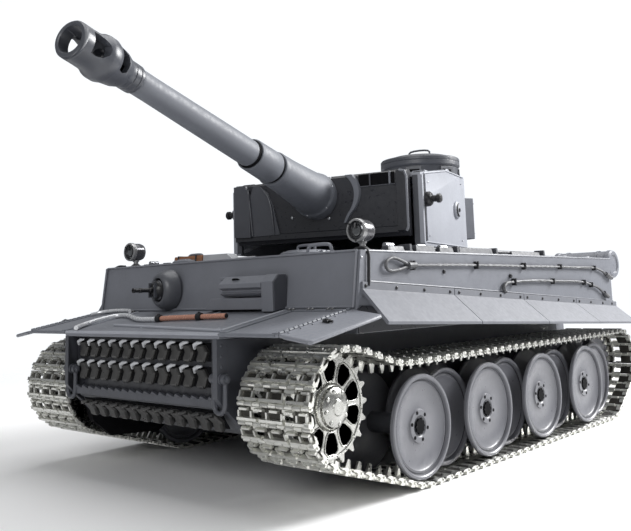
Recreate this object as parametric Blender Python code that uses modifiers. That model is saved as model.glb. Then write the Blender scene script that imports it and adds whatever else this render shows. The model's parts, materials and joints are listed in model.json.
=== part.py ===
"""A 1/16 radio-controlled heavy tank: hull, interleaved running gear, turret and recoiling gun.

Run it with:  blender --background --python part.py
Sizes below are in millimetres, and MM turns them into metres.  The tank faces -Y, its left side
is +X, up is +Z, and the origin is on the ground under the middle of the whole tank, gun included.
Hull dimensions are from the middle of the hull, which sits HULL_SHIFT behind that origin.
"""

from math import acos, asin, cos, degrees, hypot, pi, radians, sin, sqrt

import bmesh
import bpy
from mathutils import Matrix, Vector

MM = 0.001
GAP = 0.3
HULL_SHIFT = 42.5532

# Hull
HULL_HALF = 100.4
HULL_TOP = 111.5
HULL_REAR = 163.0
PANNIER_FLOOR = 73.5
WALL = 2.2
PLATE_TOP_Y = -136.9
PLATE_BOTTOM_Y = -140.8
PLATE_BOTTOM_Z = 84.8
MG_CENTRE = (-33.4, -147.4, 96.6)
LIP_Y = -189.1
LIP_Z = 76.1
GLACIS_HALF = 61.6
TUB_HALF = 60.5
TUB_BOTTOM = 29.0
TUB_TOP = 73.2
NOSE_Y = -183.0
LUG_PIN = (-186.5, 56.3)

# Running gear: eight interleaved stations a side
WHEEL_RADIUS = 24.5
WHEEL_Z = 27.8
WHEEL_FIRST_Y = -100.0
WHEEL_PITCH = 32.2
WHEEL_STATIONS = 8
WHEEL_STEPS = 14
DISC_WIDTH = 6.0
ODD_DISCS = (69.5, 100.4)
EVEN_DISCS = (77.5, 92.6)
HUB_RADIUS = 5.5
HUB_INNER = 63.0
STUB_RADIUS = 2.0
STUB_BORE = 2.4
STUB_END = 71.5
SPROCKET_Y = -158.3
SPROCKET_Z = 43.6
SPROCKET_PITCH_RADIUS = 24.8
SPROCKET_TEETH = 20
SPROCKET_RINGS = ((76.4, 80.0), (94.7, 98.3))
IDLER_Y = 153.0
IDLER_Z = 38.5
IDLER_DISCS = (69.5, 84.9)
IDLER_RADIUS = 18.5
IDLER_HUB_RADIUS = 4.0

# Track band, measured from the line through the link pins
TRACK_INNER_X = 66.9
TRACK_OUTER_X = 109.4
TRACK_IN = 1.4
TRACK_OUT = 1.6
TRACK_RISE_END = -112.0
GROOVE_DEPTH = 1.1

# Skirts and front fenders
SKIRT_FRONT = (-137.7, 93.5, 79.1)
SKIRT_REAR = (166.0, 76.2, 65.0)
SKIRT_OUTER = 115.8
SKIRT_THICK = 1.2
FENDER_HINGE_X = 98.0
FENDER_OUTER_X = 114.6
FENDER_THICK = 1.5
FLAP_DROP = 2.4

# Turret, in its own frame with the gun forward
TURRET_Y = 7.8
TURRET_TRAVERSE = 14.4
TURRET_HALF = 61.8
TURRET_FRONT = -78.0
TURRET_BOTTOM = 117.0
TURRET_TOP = 165.6
TURRET_FRONT_TOP = 158.5
TURRET_FOLD_Y = -30.0
RING_RADIUS = 56.0
CUPOLA = (28.0, 19.4)
CUPOLA_RADIUS = 27.2
CUPOLA_TOP = 182.0
LOADER = (-31.0, 2.0)

# Gun, measured forward from the trunnion
TRUNNION_Y = -45.2
TRUNNION_Z = 140.3
GUN_ELEVATION = 11.4
MANTLET_HALF = 56.5
MANTLET_BACK = 35.0
MANTLET_FRONT = 41.0
SLEEVE_END = 95.2
COLLAR_END = 117.0
BARREL_ROOT = 50.0
BARREL_END = 207.5
MUZZLE = 244.7
BARREL_RADIUS = 7.0
BARREL_TIP_RADIUS = 5.5
BORE_RADIUS = 3.0

PAINT = (0.125, 0.14, 0.165)
DARK_PAINT = (0.085, 0.095, 0.115)
TRACK_METAL = (0.42, 0.41, 0.37)
SILVER = (0.72, 0.72, 0.7)
BLACK = (0.02, 0.02, 0.022)

for old in list(bpy.data.objects):
    bpy.data.objects.remove(old, do_unlink=True)

model = bpy.data.collections.new("rc_tank")
cutters = bpy.data.collections.new("cutters")
bpy.context.scene.collection.children.link(model)
bpy.context.scene.collection.children.link(cutters)
cutters.hide_render = True

materials = {}


def material(name, colour, roughness=0.6, metallic=0.0):
    """A Principled material, made once for each name."""
    if name not in materials:
        made = bpy.data.materials.new(name)
        made.use_nodes = True
        shader = made.node_tree.nodes["Principled BSDF"]
        shader.inputs["Base Color"].default_value = (*colour, 1.0)
        shader.inputs["Roughness"].default_value = roughness
        shader.inputs["Metallic"].default_value = metallic
        materials[name] = made
    return materials[name]


def mesh_object(name, bm, where=cutters):
    """An object of this bmesh, with its normals facing out."""
    bmesh.ops.recalc_face_normals(bm, faces=bm.faces)
    mesh = bpy.data.meshes.new(name)
    bm.to_mesh(mesh)
    bm.free()
    obj = bpy.data.objects.new(name, mesh)
    where.objects.link(obj)
    if where is cutters:
        obj.display_type = "WIRE"
        obj.hide_render = True
    return obj


def box(name, lo, hi):
    """A block between two corners given in millimetres."""
    bm = bmesh.new()
    bmesh.ops.create_cube(bm, size=1.0)
    size = [(b - a) * MM for a, b in zip(lo, hi)]
    middle = Vector([(a + b) / 2 * MM for a, b in zip(lo, hi)])
    bmesh.ops.scale(bm, vec=size, verts=bm.verts)
    bmesh.ops.translate(bm, vec=middle, verts=bm.verts)
    return mesh_object(name, bm)


def rod(name, radius, start, end, segments=12):
    """A straight round bar from one point to another, in millimetres."""
    a, b = Vector(start) * MM, Vector(end) * MM
    turn = (b - a).to_track_quat("Z", "Y").to_matrix().to_4x4()
    bm = bmesh.new()
    bmesh.ops.create_cone(
        bm,
        cap_ends=True,
        segments=segments,
        radius1=radius * MM,
        radius2=radius * MM,
        depth=(b - a).length,
        matrix=Matrix.Translation((a + b) / 2) @ turn,
    )
    return mesh_object(name, bm)


def baked(obj):
    """The object with its modifiers applied, or its curve turned into a welded mesh."""
    bpy.context.view_layer.update()
    graph = bpy.context.evaluated_depsgraph_get()
    mesh = bpy.data.meshes.new_from_object(obj.evaluated_get(graph))
    bm = bmesh.new()
    bm.from_mesh(mesh)
    bmesh.ops.remove_doubles(bm, verts=bm.verts, dist=1e-6)
    bm.transform(obj.matrix_world)
    name = obj.name
    bpy.data.objects.remove(obj, do_unlink=True)
    return mesh_object(name, bm)


def lathe(name, profile, steps, turn=(0, 0, 0), place=(0, 0, 0)):
    """A turned solid: the profile is (radius, height) pairs, from the top down its outer side."""
    mesh = bpy.data.meshes.new(name)
    points = [(r * MM, 0.0, z * MM) for r, z in profile]
    edges = [(i, i + 1) for i in range(len(points) - 1)]
    if profile[0][0] > 0:
        edges.append((len(points) - 1, 0))
    mesh.from_pydata(points, edges, [])
    obj = bpy.data.objects.new(name, mesh)
    cutters.objects.link(obj)
    screw = obj.modifiers.new("turn", "SCREW")
    screw.axis = "Z"
    screw.steps = steps
    screw.render_steps = steps
    screw.use_merge_vertices = True
    screw.merge_threshold = 0.00001
    screw.use_smooth_shade = True
    obj.rotation_euler = [radians(a) for a in turn]
    obj.location = [c * MM for c in place]
    return baked(obj)


def slab(name, outline, low, high, axis="Z", holes=()):
    """A flat outline given thickness from low to high along one axis.

    The outline lies in (x, y) for Z, in (y, z) for X and in (x, z) for Y.
    """
    curve = bpy.data.curves.new(name, "CURVE")
    curve.dimensions = "2D"
    curve.fill_mode = "BOTH"
    curve.extrude = (high - low) / 2 * MM
    for loop in (outline, *holes):
        spline = curve.splines.new("POLY")
        spline.points.add(len(loop) - 1)
        for point, (a, b) in zip(spline.points, loop):
            point.co = (a * MM, b * MM, 0.0, 1.0)
        spline.use_cyclic_u = True
    obj = bpy.data.objects.new(name, curve)
    cutters.objects.link(obj)
    middle = (high + low) / 2 * MM
    frames = {
        "Z": Matrix(((1, 0, 0), (0, 1, 0), (0, 0, 1))),
        "X": Matrix(((0, 0, 1), (1, 0, 0), (0, 1, 0))),
        "Y": Matrix(((1, 0, 0), (0, 0, -1), (0, 1, 0))),
    }
    frame = frames[axis]
    offset = frame @ Vector((0, 0, middle))
    if axis == "Y":
        offset = -offset
    obj.matrix_world = Matrix.Translation(offset) @ frame.to_4x4()
    return baked(obj)


def wire(name, points, radius, resolution=2, closed=False):
    """A bent round bar through these points, in millimetres."""
    curve = bpy.data.curves.new(name, "CURVE")
    curve.dimensions = "3D"
    curve.bevel_depth = radius * MM
    curve.bevel_resolution = resolution
    curve.use_fill_caps = True
    spline = curve.splines.new("POLY")
    spline.points.add(len(points) - 1)
    for point, co in zip(spline.points, points):
        point.co = (co[0] * MM, co[1] * MM, co[2] * MM, 1.0)
    spline.use_cyclic_u = closed
    obj = bpy.data.objects.new(name, curve)
    cutters.objects.link(obj)
    return baked(obj)


def combine(obj, others, operation):
    """The object joined to, or cut by, each of the others, which are then removed."""
    for other in others:
        change = obj.modifiers.new(other.name, "BOOLEAN")
        change.operation = operation
        change.solver = "EXACT"
        change.object = other
    made = baked(obj)
    for other in others:
        bpy.data.objects.remove(other, do_unlink=True)
    return made


def cut(obj, *others):
    return combine(obj, others, "DIFFERENCE")


def join(obj, *others):
    return combine(obj, others, "UNION")


def pivot(name, place, turn=(0, 0, 0), parent=None):
    """An empty on a joint's axis, in millimetres and degrees."""
    empty = bpy.data.objects.new(name, None)
    model.objects.link(empty)
    empty.location = [c * MM for c in place]
    empty.rotation_euler = [radians(a) for a in turn]
    empty.parent = parent
    return empty


def part(obj, name, finish, origin=(0, 0, 0), parent=None, smooth=True):
    """Names a finished solid, puts its origin on its joint's axis and files it in the model."""
    obj.name = name
    obj.data.name = name
    obj.data.transform(Matrix.Translation([-c * MM for c in origin]))
    obj.location = [c * MM for c in origin]
    obj.parent = parent
    obj.data.materials.clear()
    obj.data.materials.append(finish)
    if smooth:
        obj.data.shade_smooth()
        obj.data.set_sharp_from_angle(angle=radians(35))
    cutters.objects.unlink(obj)
    model.objects.link(obj)
    obj.hide_render = False
    obj.display_type = "TEXTURED"
    return obj


def arc(radius, start, end, count, centre=(0, 0)):
    """Points on an arc, in degrees counter-clockwise from +x."""
    angles = [radians(start + (end - start) * i / count) for i in range(count + 1)]
    return [(centre[0] + radius * cos(a), centre[1] + radius * sin(a)) for a in angles]


# ---------------------------------------------------------------------------- track path


def tangent(a, b):
    """The two ends of the line that touches two circles (y, z, radius) on its right."""
    dy, dz = b[0] - a[0], b[1] - a[1]
    span = hypot(dy, dz)
    uy, uz = dy / span, dz / span
    along = (a[2] - b[2]) / span
    across = sqrt(1 - along * along)
    ny, nz = uy * along + uz * across, uz * along - uy * across
    return (a[0] + a[2] * ny, a[1] + a[2] * nz), (b[0] + b[2] * ny, b[1] + b[2] * nz)


def wrap(circle, start, end, step):
    """Points on the belt's arc round a circle, counter-clockwise, without its two ends."""
    from_angle = degrees_of(circle, start)
    to_angle = degrees_of(circle, end)
    while to_angle < from_angle:
        to_angle += 360
    count = max(2, round((to_angle - from_angle) / step))
    return arc(circle[2], from_angle, to_angle, count, circle[:2])[1:-1]


def degrees_of(circle, point):
    dy, dz = (point[0] - circle[0]) / circle[2], (point[1] - circle[1]) / circle[2]
    angle = degrees(acos(max(-1, min(1, dy))))
    return angle if dz >= 0 else 360 - angle


def track_line(step=15.0, rise_steps=5, straight_steps=4):
    """The closed line (y, z) through the link pins, from the sprocket back along the ground."""
    lift = GAP + TRACK_IN
    last_y = WHEEL_FIRST_Y + WHEEL_PITCH * (WHEEL_STATIONS - 1)
    sprocket = (SPROCKET_Y, SPROCKET_Z, SPROCKET_PITCH_RADIUS)
    first = (WHEEL_FIRST_Y, WHEEL_Z, WHEEL_RADIUS + lift)
    last = (last_y, WHEEL_Z, WHEEL_RADIUS + lift)
    idler = (IDLER_Y, IDLER_Z, IDLER_RADIUS + lift)
    s1, f1 = tangent(sprocket, first)
    f2, l1 = tangent(first, last)
    l2, i1 = tangent(last, idler)
    top = (IDLER_Y, IDLER_Z + idler[2])
    sprocket_top = (SPROCKET_Y, SPROCKET_Z + sprocket[2])
    points = [s1, f1, *wrap(first, f1, f2, step), f2]
    points += [
        (f2[0] + (l1[0] - f2[0]) * i / straight_steps, f2[1])
        for i in range(1, straight_steps)
    ]
    points += [l1, *wrap(last, l1, l2, step), l2, i1, *wrap(idler, i1, top, step), top]
    points += [
        (top[0] + (TRACK_RISE_END - top[0]) * i / straight_steps, top[1])
        for i in range(1, straight_steps)
    ]
    for i in range(rise_steps):
        t = i / rise_steps
        ease = t * t * (3 - 2 * t)
        points.append(
            (
                TRACK_RISE_END + (SPROCKET_Y - TRACK_RISE_END) * t,
                top[1] + (sprocket_top[1] - top[1]) * ease,
            )
        )
    points += [sprocket_top, *wrap(sprocket, sprocket_top, s1, step)]
    return points


def track_section():
    """The band's outline as (x, height out from the pin line), with a groove for each ring."""
    inner, outer = TRACK_INNER_X, TRACK_OUTER_X
    section = [(inner, TRACK_OUT), (inner, -TRACK_IN)]
    for low, high in SPROCKET_RINGS:
        low, high = low - 1.5 * GAP, high + 1.5 * GAP
        section += [(low, -TRACK_IN), (low, GROOVE_DEPTH), (high, GROOVE_DEPTH), (high, -TRACK_IN)]
    return section + [(outer, -TRACK_IN), (outer, TRACK_OUT)]


def track(side):
    """One endless band: the section carried round the track line."""
    line = track_line()
    section = track_section()
    bm = bmesh.new()
    rings = []
    for i, (y, z) in enumerate(line):
        before, after = line[i - 1], line[(i + 1) % len(line)]
        dy, dz = after[0] - before[0], after[1] - before[1]
        span = hypot(dy, dz)
        out_y, out_z = dz / span, -dy / span
        ring = [
            bm.verts.new((side * x * MM, (y + out_y * h) * MM, (z + out_z * h) * MM))
            for x, h in section
        ]
        rings.append(ring)
    count = len(section)
    for i, ring in enumerate(rings):
        following = rings[(i + 1) % len(rings)]
        for k in range(count):
            n = (k + 1) % count
            bm.faces.new((ring[k], ring[n], following[n], following[k]))
    return mesh_object("band", bm)


# ---------------------------------------------------------------------------- running gear


def road_wheel(side, station):
    """Two dished discs on one hub, with a blind bore for the stub axle."""
    inner, outer = ODD_DISCS if station % 2 else EVEN_DISCS
    rim = WHEEL_RADIUS
    profile = [
        (0, outer + 1.6),
        (19.0, outer + 2.6),
        (21.0, outer + DISC_WIDTH),
        (rim, outer + DISC_WIDTH),
        (rim, outer),
        (HUB_RADIUS, outer),
        (HUB_RADIUS, inner + DISC_WIDTH),
        (rim, inner + DISC_WIDTH),
        (rim, inner),
        (HUB_RADIUS, inner),
        (HUB_RADIUS, HUB_INNER),
        (STUB_BORE, HUB_INNER),
        (STUB_BORE, STUB_END + GAP),
        (0, STUB_END + GAP),
    ]
    y = WHEEL_FIRST_Y + WHEEL_PITCH * (station - 1)
    return turned_on_axle(profile, WHEEL_STEPS, side, y, WHEEL_Z), (0, y, WHEEL_Z)


def idler_wheel(side):
    """The rear tensioning wheel, whose outer disc turns between the last road wheel's discs."""
    inner, outer = IDLER_DISCS
    rim = IDLER_RADIUS
    profile = [
        (0, outer + 2.0),
        (14.5, outer + 3.0),
        (15.5, outer + DISC_WIDTH),
        (rim, outer + DISC_WIDTH),
        (rim, outer),
        (IDLER_HUB_RADIUS, outer),
        (IDLER_HUB_RADIUS, inner + DISC_WIDTH),
        (rim, inner + DISC_WIDTH),
        (rim, inner),
        (IDLER_HUB_RADIUS, inner),
        (IDLER_HUB_RADIUS, HUB_INNER),
        (STUB_BORE, HUB_INNER),
        (STUB_BORE, STUB_END + GAP),
        (0, STUB_END + GAP),
    ]
    return turned_on_axle(profile, WHEEL_STEPS, side, IDLER_Y, IDLER_Z)


def turned_on_axle(profile, steps, side, y, z):
    """A turned solid whose axle runs out sideways from the hull."""
    return lathe("wheel", profile, steps, turn=(0, 90 * side, 0), place=(0, y, z))


def toothed_outline(root, tip):
    """A ring gear's outline: each tooth has a flat tip and a flat root."""
    points = []
    pitch = 360 / SPROCKET_TEETH
    for i in range(SPROCKET_TEETH):
        for share, radius in ((-0.28, root), (-0.1, tip), (0.1, tip), (0.28, root)):
            angle = radians((i + share) * pitch)
            points.append((radius * cos(angle), radius * sin(angle)))
    return points


def window(middle, inner, outer, half):
    """One arched opening between two spokes of the sprocket."""
    return [
        *arc(inner, middle - half * 0.7, middle + half * 0.7, 1),
        *arc(outer, middle + half, middle - half, 2),
    ]


def drive_sprocket(side):
    """Two toothed rings on a domed hub, and the shaft that enters the gearbox."""
    y, z = SPROCKET_Y, SPROCKET_Z
    outline = toothed_outline(22.4, 25.5)
    windows = [window(36 * i + 18, 12.5, 18.6, 13.5) for i in range(10)]
    (inner_low, inner_high), (outer_low, outer_high) = SPROCKET_RINGS

    def placed(loop):
        return [(y + a, z + b) for a, b in loop]

    def ring(low, high, holes):
        low, high = sorted((side * low, side * high))
        return slab("ring", placed(outline), low, high, "X", [placed(h) for h in holes])

    hub = turned_on_axle(
        [
            (0, 103.2),
            (4.0, 102.8),
            (9.5, outer_high + 1.2),
            (11.0, outer_high - 1.0),
            (8.0, outer_low - 1.0),
            (8.0, 66.0),
            (3.0, 66.0),
            (3.0, 56.0),
            (0, 56.0),
        ],
        16,
        side,
        y,
        z,
    )
    return join(hub, ring(outer_low, outer_high, windows), ring(inner_low, inner_high, ()))


def shackle(side):
    """A tow shackle: its pin lies in the nose lug and its bow hangs below."""
    y, z = LUG_PIN
    x = side * (TUB_HALF - 1.5)
    spread, drop = 3.6, 11.0
    bow = [(x + spread * cos(radians(a)), y, z - drop + spread * sin(radians(a))) for a in range(180, 361, 45)]
    return wire("bow", [(x - spread, y, z), *bow, (x + spread, y, z)], 1.25, closed=True)


def suspension():
    """Swing arms and stub axles of every wheel, on both sides of the tub."""
    pieces = []
    stations = [(WHEEL_FIRST_Y + WHEEL_PITCH * i, WHEEL_Z) for i in range(WHEEL_STATIONS)]
    for side in (1, -1):
        for y, z in [*stations, (IDLER_Y, IDLER_Z)]:
            near, far = TUB_HALF - 1.0, TUB_HALF + 2.2
            low, high = sorted((side * near, side * far))
            pieces.append(box("arm", (low, y - 3.0, z - 3.0), (high, y + 12.0, z + 8.0)))
            pieces.append(
                rod("stub", STUB_RADIUS, (side * near, y, z), (side * STUB_END, y, z), 8)
            )
        start, end = (side * (TUB_HALF - 1.0), SPROCKET_Y, SPROCKET_Z), (side * 65.4, SPROCKET_Y, SPROCKET_Z)
        pieces.append(rod("drive_housing", 10.0, start, end, 16))
    return pieces


# ---------------------------------------------------------------------------- hull


def lower_hull():
    """The tub: an open tray with nose lugs, swing arms and holes for the drive shafts."""
    side_view = [
        (LIP_Y, TUB_TOP),
        (LIP_Y, 48.0),
        (LIP_Y + 4, 44.0),
        (-172.0, 31.5),
        (-166.0, TUB_BOTTOM),
        (154.0, TUB_BOTTOM),
        (HULL_REAR - 1, 56.0),
        (HULL_REAR - 1, TUB_TOP),
    ]
    tub = slab("tub", side_view, -TUB_HALF, TUB_HALF, "X")
    inner = TUB_HALF - 2.5
    recess = slab(
        "recess",
        [(LIP_Y - 5, 80), (LIP_Y - 5, 25), (-171.0, 25), (-175.0, 33.5), (NOSE_Y, 45.0), (NOSE_Y, 80)],
        -inner,
        inner,
        "X",
    )
    cavity = box("cavity", (-inner, -164.0, TUB_BOTTOM + 2.5), (inner, 152.0, 90.0))
    tub = cut(tub, recess, cavity)
    rack_bar = box("rack_bar", (-53, -184.9, 42.6), (53, -182.0, 46.4))
    tub = join(tub, rack_bar, *suspension())
    holes = []
    for side in (1, -1):
        holes.append(
            rod("shaft_hole", 3.4, (side * 50, SPROCKET_Y, SPROCKET_Z), (side * 70, SPROCKET_Y, SPROCKET_Z))
        )
        y, z = LUG_PIN
        holes.append(rod("pin_hole", 1.75, (side * 50, y, z), (side * 66, y, z), 10))
    return cut(tub, *holes)


def upper_hull():
    """The superstructure: a shell open below, with the glacis and every opening of its roof."""
    block = slab(
        "block",
        [
            (PLATE_BOTTOM_Y, PANNIER_FLOOR),
            (HULL_REAR, PANNIER_FLOOR),
            (HULL_REAR, HULL_TOP),
            (PLATE_TOP_Y, HULL_TOP),
            (PLATE_BOTTOM_Y, PLATE_BOTTOM_Z),
        ],
        -HULL_HALF,
        HULL_HALF,
        "X",
    )
    glacis = slab(
        "glacis",
        [
            (LIP_Y, LIP_Z),
            (LIP_Y, PANNIER_FLOOR),
            (PLATE_BOTTOM_Y + 3, PANNIER_FLOOR),
            (PLATE_BOTTOM_Y + 3, PLATE_BOTTOM_Z),
            (PLATE_BOTTOM_Y, PLATE_BOTTOM_Z),
        ],
        -GLACIS_HALF,
        GLACIS_HALF,
        "X",
    )
    shell = join(block, glacis)
    side = HULL_HALF - WALL
    front = PLATE_BOTTOM_Y + 7.0
    rear = HULL_REAR - WALL
    tub_inner = TUB_HALF - 2.5
    return cut(
        shell,
        box("panniers", (-side, front, PANNIER_FLOOR + WALL), (side, rear, HULL_TOP - WALL)),
        box("open_floor", (-tub_inner, front, 60), (tub_inner, 150, PANNIER_FLOOR + WALL + 1)),
        rod("turret_hole", RING_RADIUS, (0, TURRET_Y, 100), (0, TURRET_Y, 120), 32),
        box("engine_hole", (-50, 88, 100), (50, 148, 120)),
        *[rod("hatch_hole", 12.0, (45 * s, -112, 100), (45 * s, -112, 120), 16) for s in (1, -1)],
    )


def engine_deck():
    """The lift-off cover over the engine bay, with two ranks of cooling slots."""
    cover = box("cover", (-57, 83, HULL_TOP + GAP), (57, 155, HULL_TOP + GAP + 2.0))
    slots = [
        box("slot", (x - 20, 94 + 12 * i, 100), (x + 20, 99 + 12 * i, 120))
        for x in (-29, 29)
        for i in range(4)
    ]
    return cut(cover, *slots)


def side_skirt(side):
    """A folded plate along the hull side, set on a line that falls towards the rear."""
    front_y, front_top, front_low = SKIRT_FRONT
    rear_y, rear_top, rear_low = SKIRT_REAR
    inner = HULL_HALF + GAP
    bm = bmesh.new()
    rings = []
    for y, top, low in ((front_y, front_top, front_low), (rear_y, rear_top, rear_low)):
        section = [
            (inner, top + 2.5),
            (inner + SKIRT_THICK, top + 2.5),
            (inner + SKIRT_THICK, top - 0.6),
            (SKIRT_OUTER, low + 0.8),
            (SKIRT_OUTER, low - 0.6),
            (inner, top - 2.2),
        ]
        rings.append([bm.verts.new((side * x * MM, y * MM, z * MM)) for x, z in section])
    count = len(rings[0])
    for k in range(count):
        n = (k + 1) % count
        bm.faces.new((rings[0][k], rings[0][n], rings[1][n], rings[1][k]))
    bm.faces.new(rings[0])
    bm.faces.new(rings[1])
    return mesh_object("skirt", bm)


def glacis_frame():
    """Where the fenders' own frame sits: on the lip, sloping up and back with the glacis."""
    slope = asin((PLATE_BOTTOM_Z - LIP_Z) / hypot(PLATE_BOTTOM_Z - LIP_Z, PLATE_BOTTOM_Y - LIP_Y))
    return Matrix.Translation((0, LIP_Y * MM, LIP_Z * MM)) @ Matrix.Rotation(slope, 4, "X")


def fender_plate(name, outline):
    """A fender plate drawn across the tank and run back up the slope of the glacis."""
    length = hypot(PLATE_BOTTOM_Z - LIP_Z, PLATE_BOTTOM_Y - LIP_Y) - 1.0
    plate = slab(name, outline, 0, length, "Y")
    plate.data.transform(glacis_frame())
    return plate


def front_fender(side):
    inner, outer = GLACIS_HALF + GAP, FENDER_HINGE_X - GAP
    outline = [(inner, -FENDER_THICK), (outer, -FENDER_THICK), (outer, 0), (inner, 0)]
    return fender_plate("fender", [(side * x, z) for x, z in outline])


def fender_flap(side):
    inner, outer, drop = FENDER_HINGE_X + GAP, FENDER_OUTER_X, FLAP_DROP
    outline = [
        (inner, -FENDER_THICK),
        (outer, -FENDER_THICK - drop),
        (outer, -drop),
        (inner, 0),
    ]
    return fender_plate("flap", [(side * x, z) for x, z in outline])


def driver_visor():
    """The driver's armoured slit: a sloped block and its cheek on a low trapezoid plinth."""
    y = PLATE_BOTTOM_Y - GAP
    profile = [(y, 85.4), (y, 101.4), (y - 4, 101.8), (y - 9, 98.2), (y - 9, 94.2), (y - 5, 92.5)]
    block = slab("block", profile, 18.5, 49, "X")
    cheek = slab("cheek", [(y, 85.2), (y, 101.8), (y - 5, 101.8), (y - 8.5, 98.5), (y - 8.5, 83.9)], 48, 56, "X")
    plinth = slab("plinth", [(4.5, 85.4), (10, 90.5), (49, 90.5), (49, 85.4)], y - 7, y, "Y")
    return join(block, cheek, plinth)


def mg_housing():
    """The domed collar round the bow machine gun, hollowed to a ball socket."""
    dome = [
        (6.4, 8.2),
        (9.0, 7.4),
        (10.6, 4.6),
        (11.3, 0.0),
        (7.6, 0.0),
        (7.6, 4.0),
        (6.4, 7.0),
    ]
    return lathe("dome", dome, 20, turn=(90, 0, 0), place=(MG_CENTRE[0], PLATE_BOTTOM_Y - GAP, MG_CENTRE[2]))


def spare_links(width, depth, rise, count):
    """A rank of spare links as one bar with a rib for each link, lying in x and y."""
    pitch = width / count
    points = [(width / 2, 0), (-width / 2, 0)]
    for i in range(count):
        x = -width / 2 + pitch * i
        points += [(x + 0.8, -depth), (x + pitch * 0.35, -rise), (x + pitch * 0.75, -rise)]
    return [*points, (width / 2 - 0.4, -depth)]


def spare_rack_upper():
    outline = [(x - 0.6, NOSE_Y - GAP + y) for x, y in spare_links(101, 2.2, 4.2, 12)]
    return slab("links", outline, 49.0, 72.0, "Z")


def spare_rack_lower():
    """The third rank of spare links, lying on the sloping lower nose plate."""
    rank = slab("rank", spare_links(104, 1.8, 3.6, 12), -5.0, 5.0, "Z")
    rank.data.transform(
        Matrix.Translation((1.5 * MM, -181.0 * MM, 38.0 * MM)) @ Matrix.Rotation(radians(34), 4, "X")
    )
    return rank


def headlight(side):
    """A drum lamp on a post at the front corner of the roof."""
    x, y, z = 91.0 * side, -122.4, 121.5
    profile = [(0, 3.4), (4.4, 3.4), (4.4, 5.0), (5.6, 5.0), (5.6, -3.0), (4.0, -5.4), (0, -5.4)]
    body = lathe("lamp", profile, 16, turn=(90, 0, 0), place=(x, y, z))
    post = rod("post", 1.3, (x, y, HULL_TOP + GAP), (x, y, z), 8)
    foot = box("foot", (x - 3, y - 3, HULL_TOP + GAP), (x + 3, y + 3, HULL_TOP + GAP + 1.2))
    return join(body, post, foot)


def exhaust(side):
    """A silencer standing on the rear plate."""
    place = (side * 28.0, HULL_REAR + 12.3, 0)
    profile = [
        (0, 106.5),
        (3.2, 106.5),
        (3.2, 113.0),
        (4.2, 113.0),
        (4.2, 106.0),
        (9.2, 104.0),
        (9.2, 68.0),
        (7.0, 65.0),
        (0, 65.0),
    ]
    outer = lathe("silencer", profile, 16, place=place)
    bracket = box(
        "bracket",
        (place[0] - 4, HULL_REAR + GAP, 76),
        (place[0] + 4, HULL_REAR + 6, 84),
    )
    return join(outer, bracket)


def air_filter(side):
    """A dust cyclone: a long drum across the rear corner, above the exhausts."""
    y, z = HULL_REAR + 12.0, 107.5
    low, high = sorted((side * 54.0, side * 99.0))
    drum = rod("drum", 10.5, (low, y, z), (high, y, z), 16)
    bracket = box("bracket", (side * 76 - 5, HULL_REAR + GAP, 90), (side * 76 + 5, HULL_REAR + 8, 102))
    return join(drum, bracket)


def roof_hatch(side):
    """A crew hatch: a flanged disc with a grab handle, hinged at its outer edge."""
    x, y, z = 45.0 * side, -112.0, HULL_TOP + GAP
    lid = lathe(
        "lid",
        [(0, 3.0), (12.2, 3.0), (14.0, 1.6), (14.0, 0.0), (11.4, 0.0), (11.4, -1.6), (0, -1.6)],
        20,
        place=(x, y, z),
    )
    hinge_low, hinge_high = sorted((x + side * 12.5, x + side * 15.5))
    hinge = box("hinge", (hinge_low, y - 5, z), (hinge_high, y + 5, z + 2.4))
    handle = wire(
        "handle",
        [(x - 6, y, z + 2.0), (x - 6, y, z + 5.6), (x + 6, y, z + 5.6), (x + 6, y, z + 2.0)],
        0.8,
        1,
    )
    return join(lid, hinge, handle), (x + side * 15.0, y, z + 1.2)


def bow_ball():
    """The ball of the bow machine gun's mount, slotted so that the gun can tip."""
    x, y, z = MG_CENTRE
    bm = bmesh.new()
    bmesh.ops.create_uvsphere(bm, u_segments=14, v_segments=8, radius=6.0 * MM)
    ball = mesh_object("ball", bm)
    ball.data.transform(Matrix.Translation([c * MM for c in MG_CENTRE]))
    return cut(ball, box("slot", (x - 1.9, y - 8, z - 4.2), (x + 1.9, y + 2.4, z + 4.2)))


def bow_barrel():
    """The bow machine gun, which tips in the slot of its ball."""
    x, y, z = MG_CENTRE
    breech = rod("breech", 1.5, (x, y - 1.6, z), (x, y + 2.0, z), 10)
    return join(breech, rod("barrel", 1.1, (x, y - 18.0, z), (x, y, z), 10))


# ---------------------------------------------------------------------------- inside the hull


def twin_gearbox():
    """The two drive motors and their gear trains in one casing behind the sprockets."""
    casing = box("casing", (-46, -163, 33), (46, -132, 62))
    motors = [rod("motor", 10, (24 * s, -134, 46), (24 * s, -102, 46), 14) for s in (1, -1)]
    return join(casing, *motors)


def battery_pack():
    """Six cells side by side in a shrink sleeve."""
    cells = [rod("cell", 8.6, (-52 + 0, y, 41), (52, y, 41), 12) for y in (20, 36, 52)]
    return join(box("sleeve", (-51, 20, 33), (51, 52, 40)), *cells)


def circuit_board():
    """The receiver and motor control board on its pillars."""
    board = box("board", (-45, 76, 50), (45, 136, 51.6))
    pillars = [box("pillar", (x - 2, y - 2, 32.2), (x + 2, y + 2, 50.5)) for x in (-40, 40) for y in (81, 131)]
    chips = [box("chip", (x - 8, y - 6, 51), (x + 8, y + 6, 55)) for x, y in ((-22, 92), (14, 112))]
    return join(board, *pillars, *chips)


# ---------------------------------------------------------------------------- turret


def horseshoe(half, front, count=12):
    """The turret's plan: straight sides and a half-round rear."""
    return [(-half, front), (half, front), *arc(half, 0, 180, count)]


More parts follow.
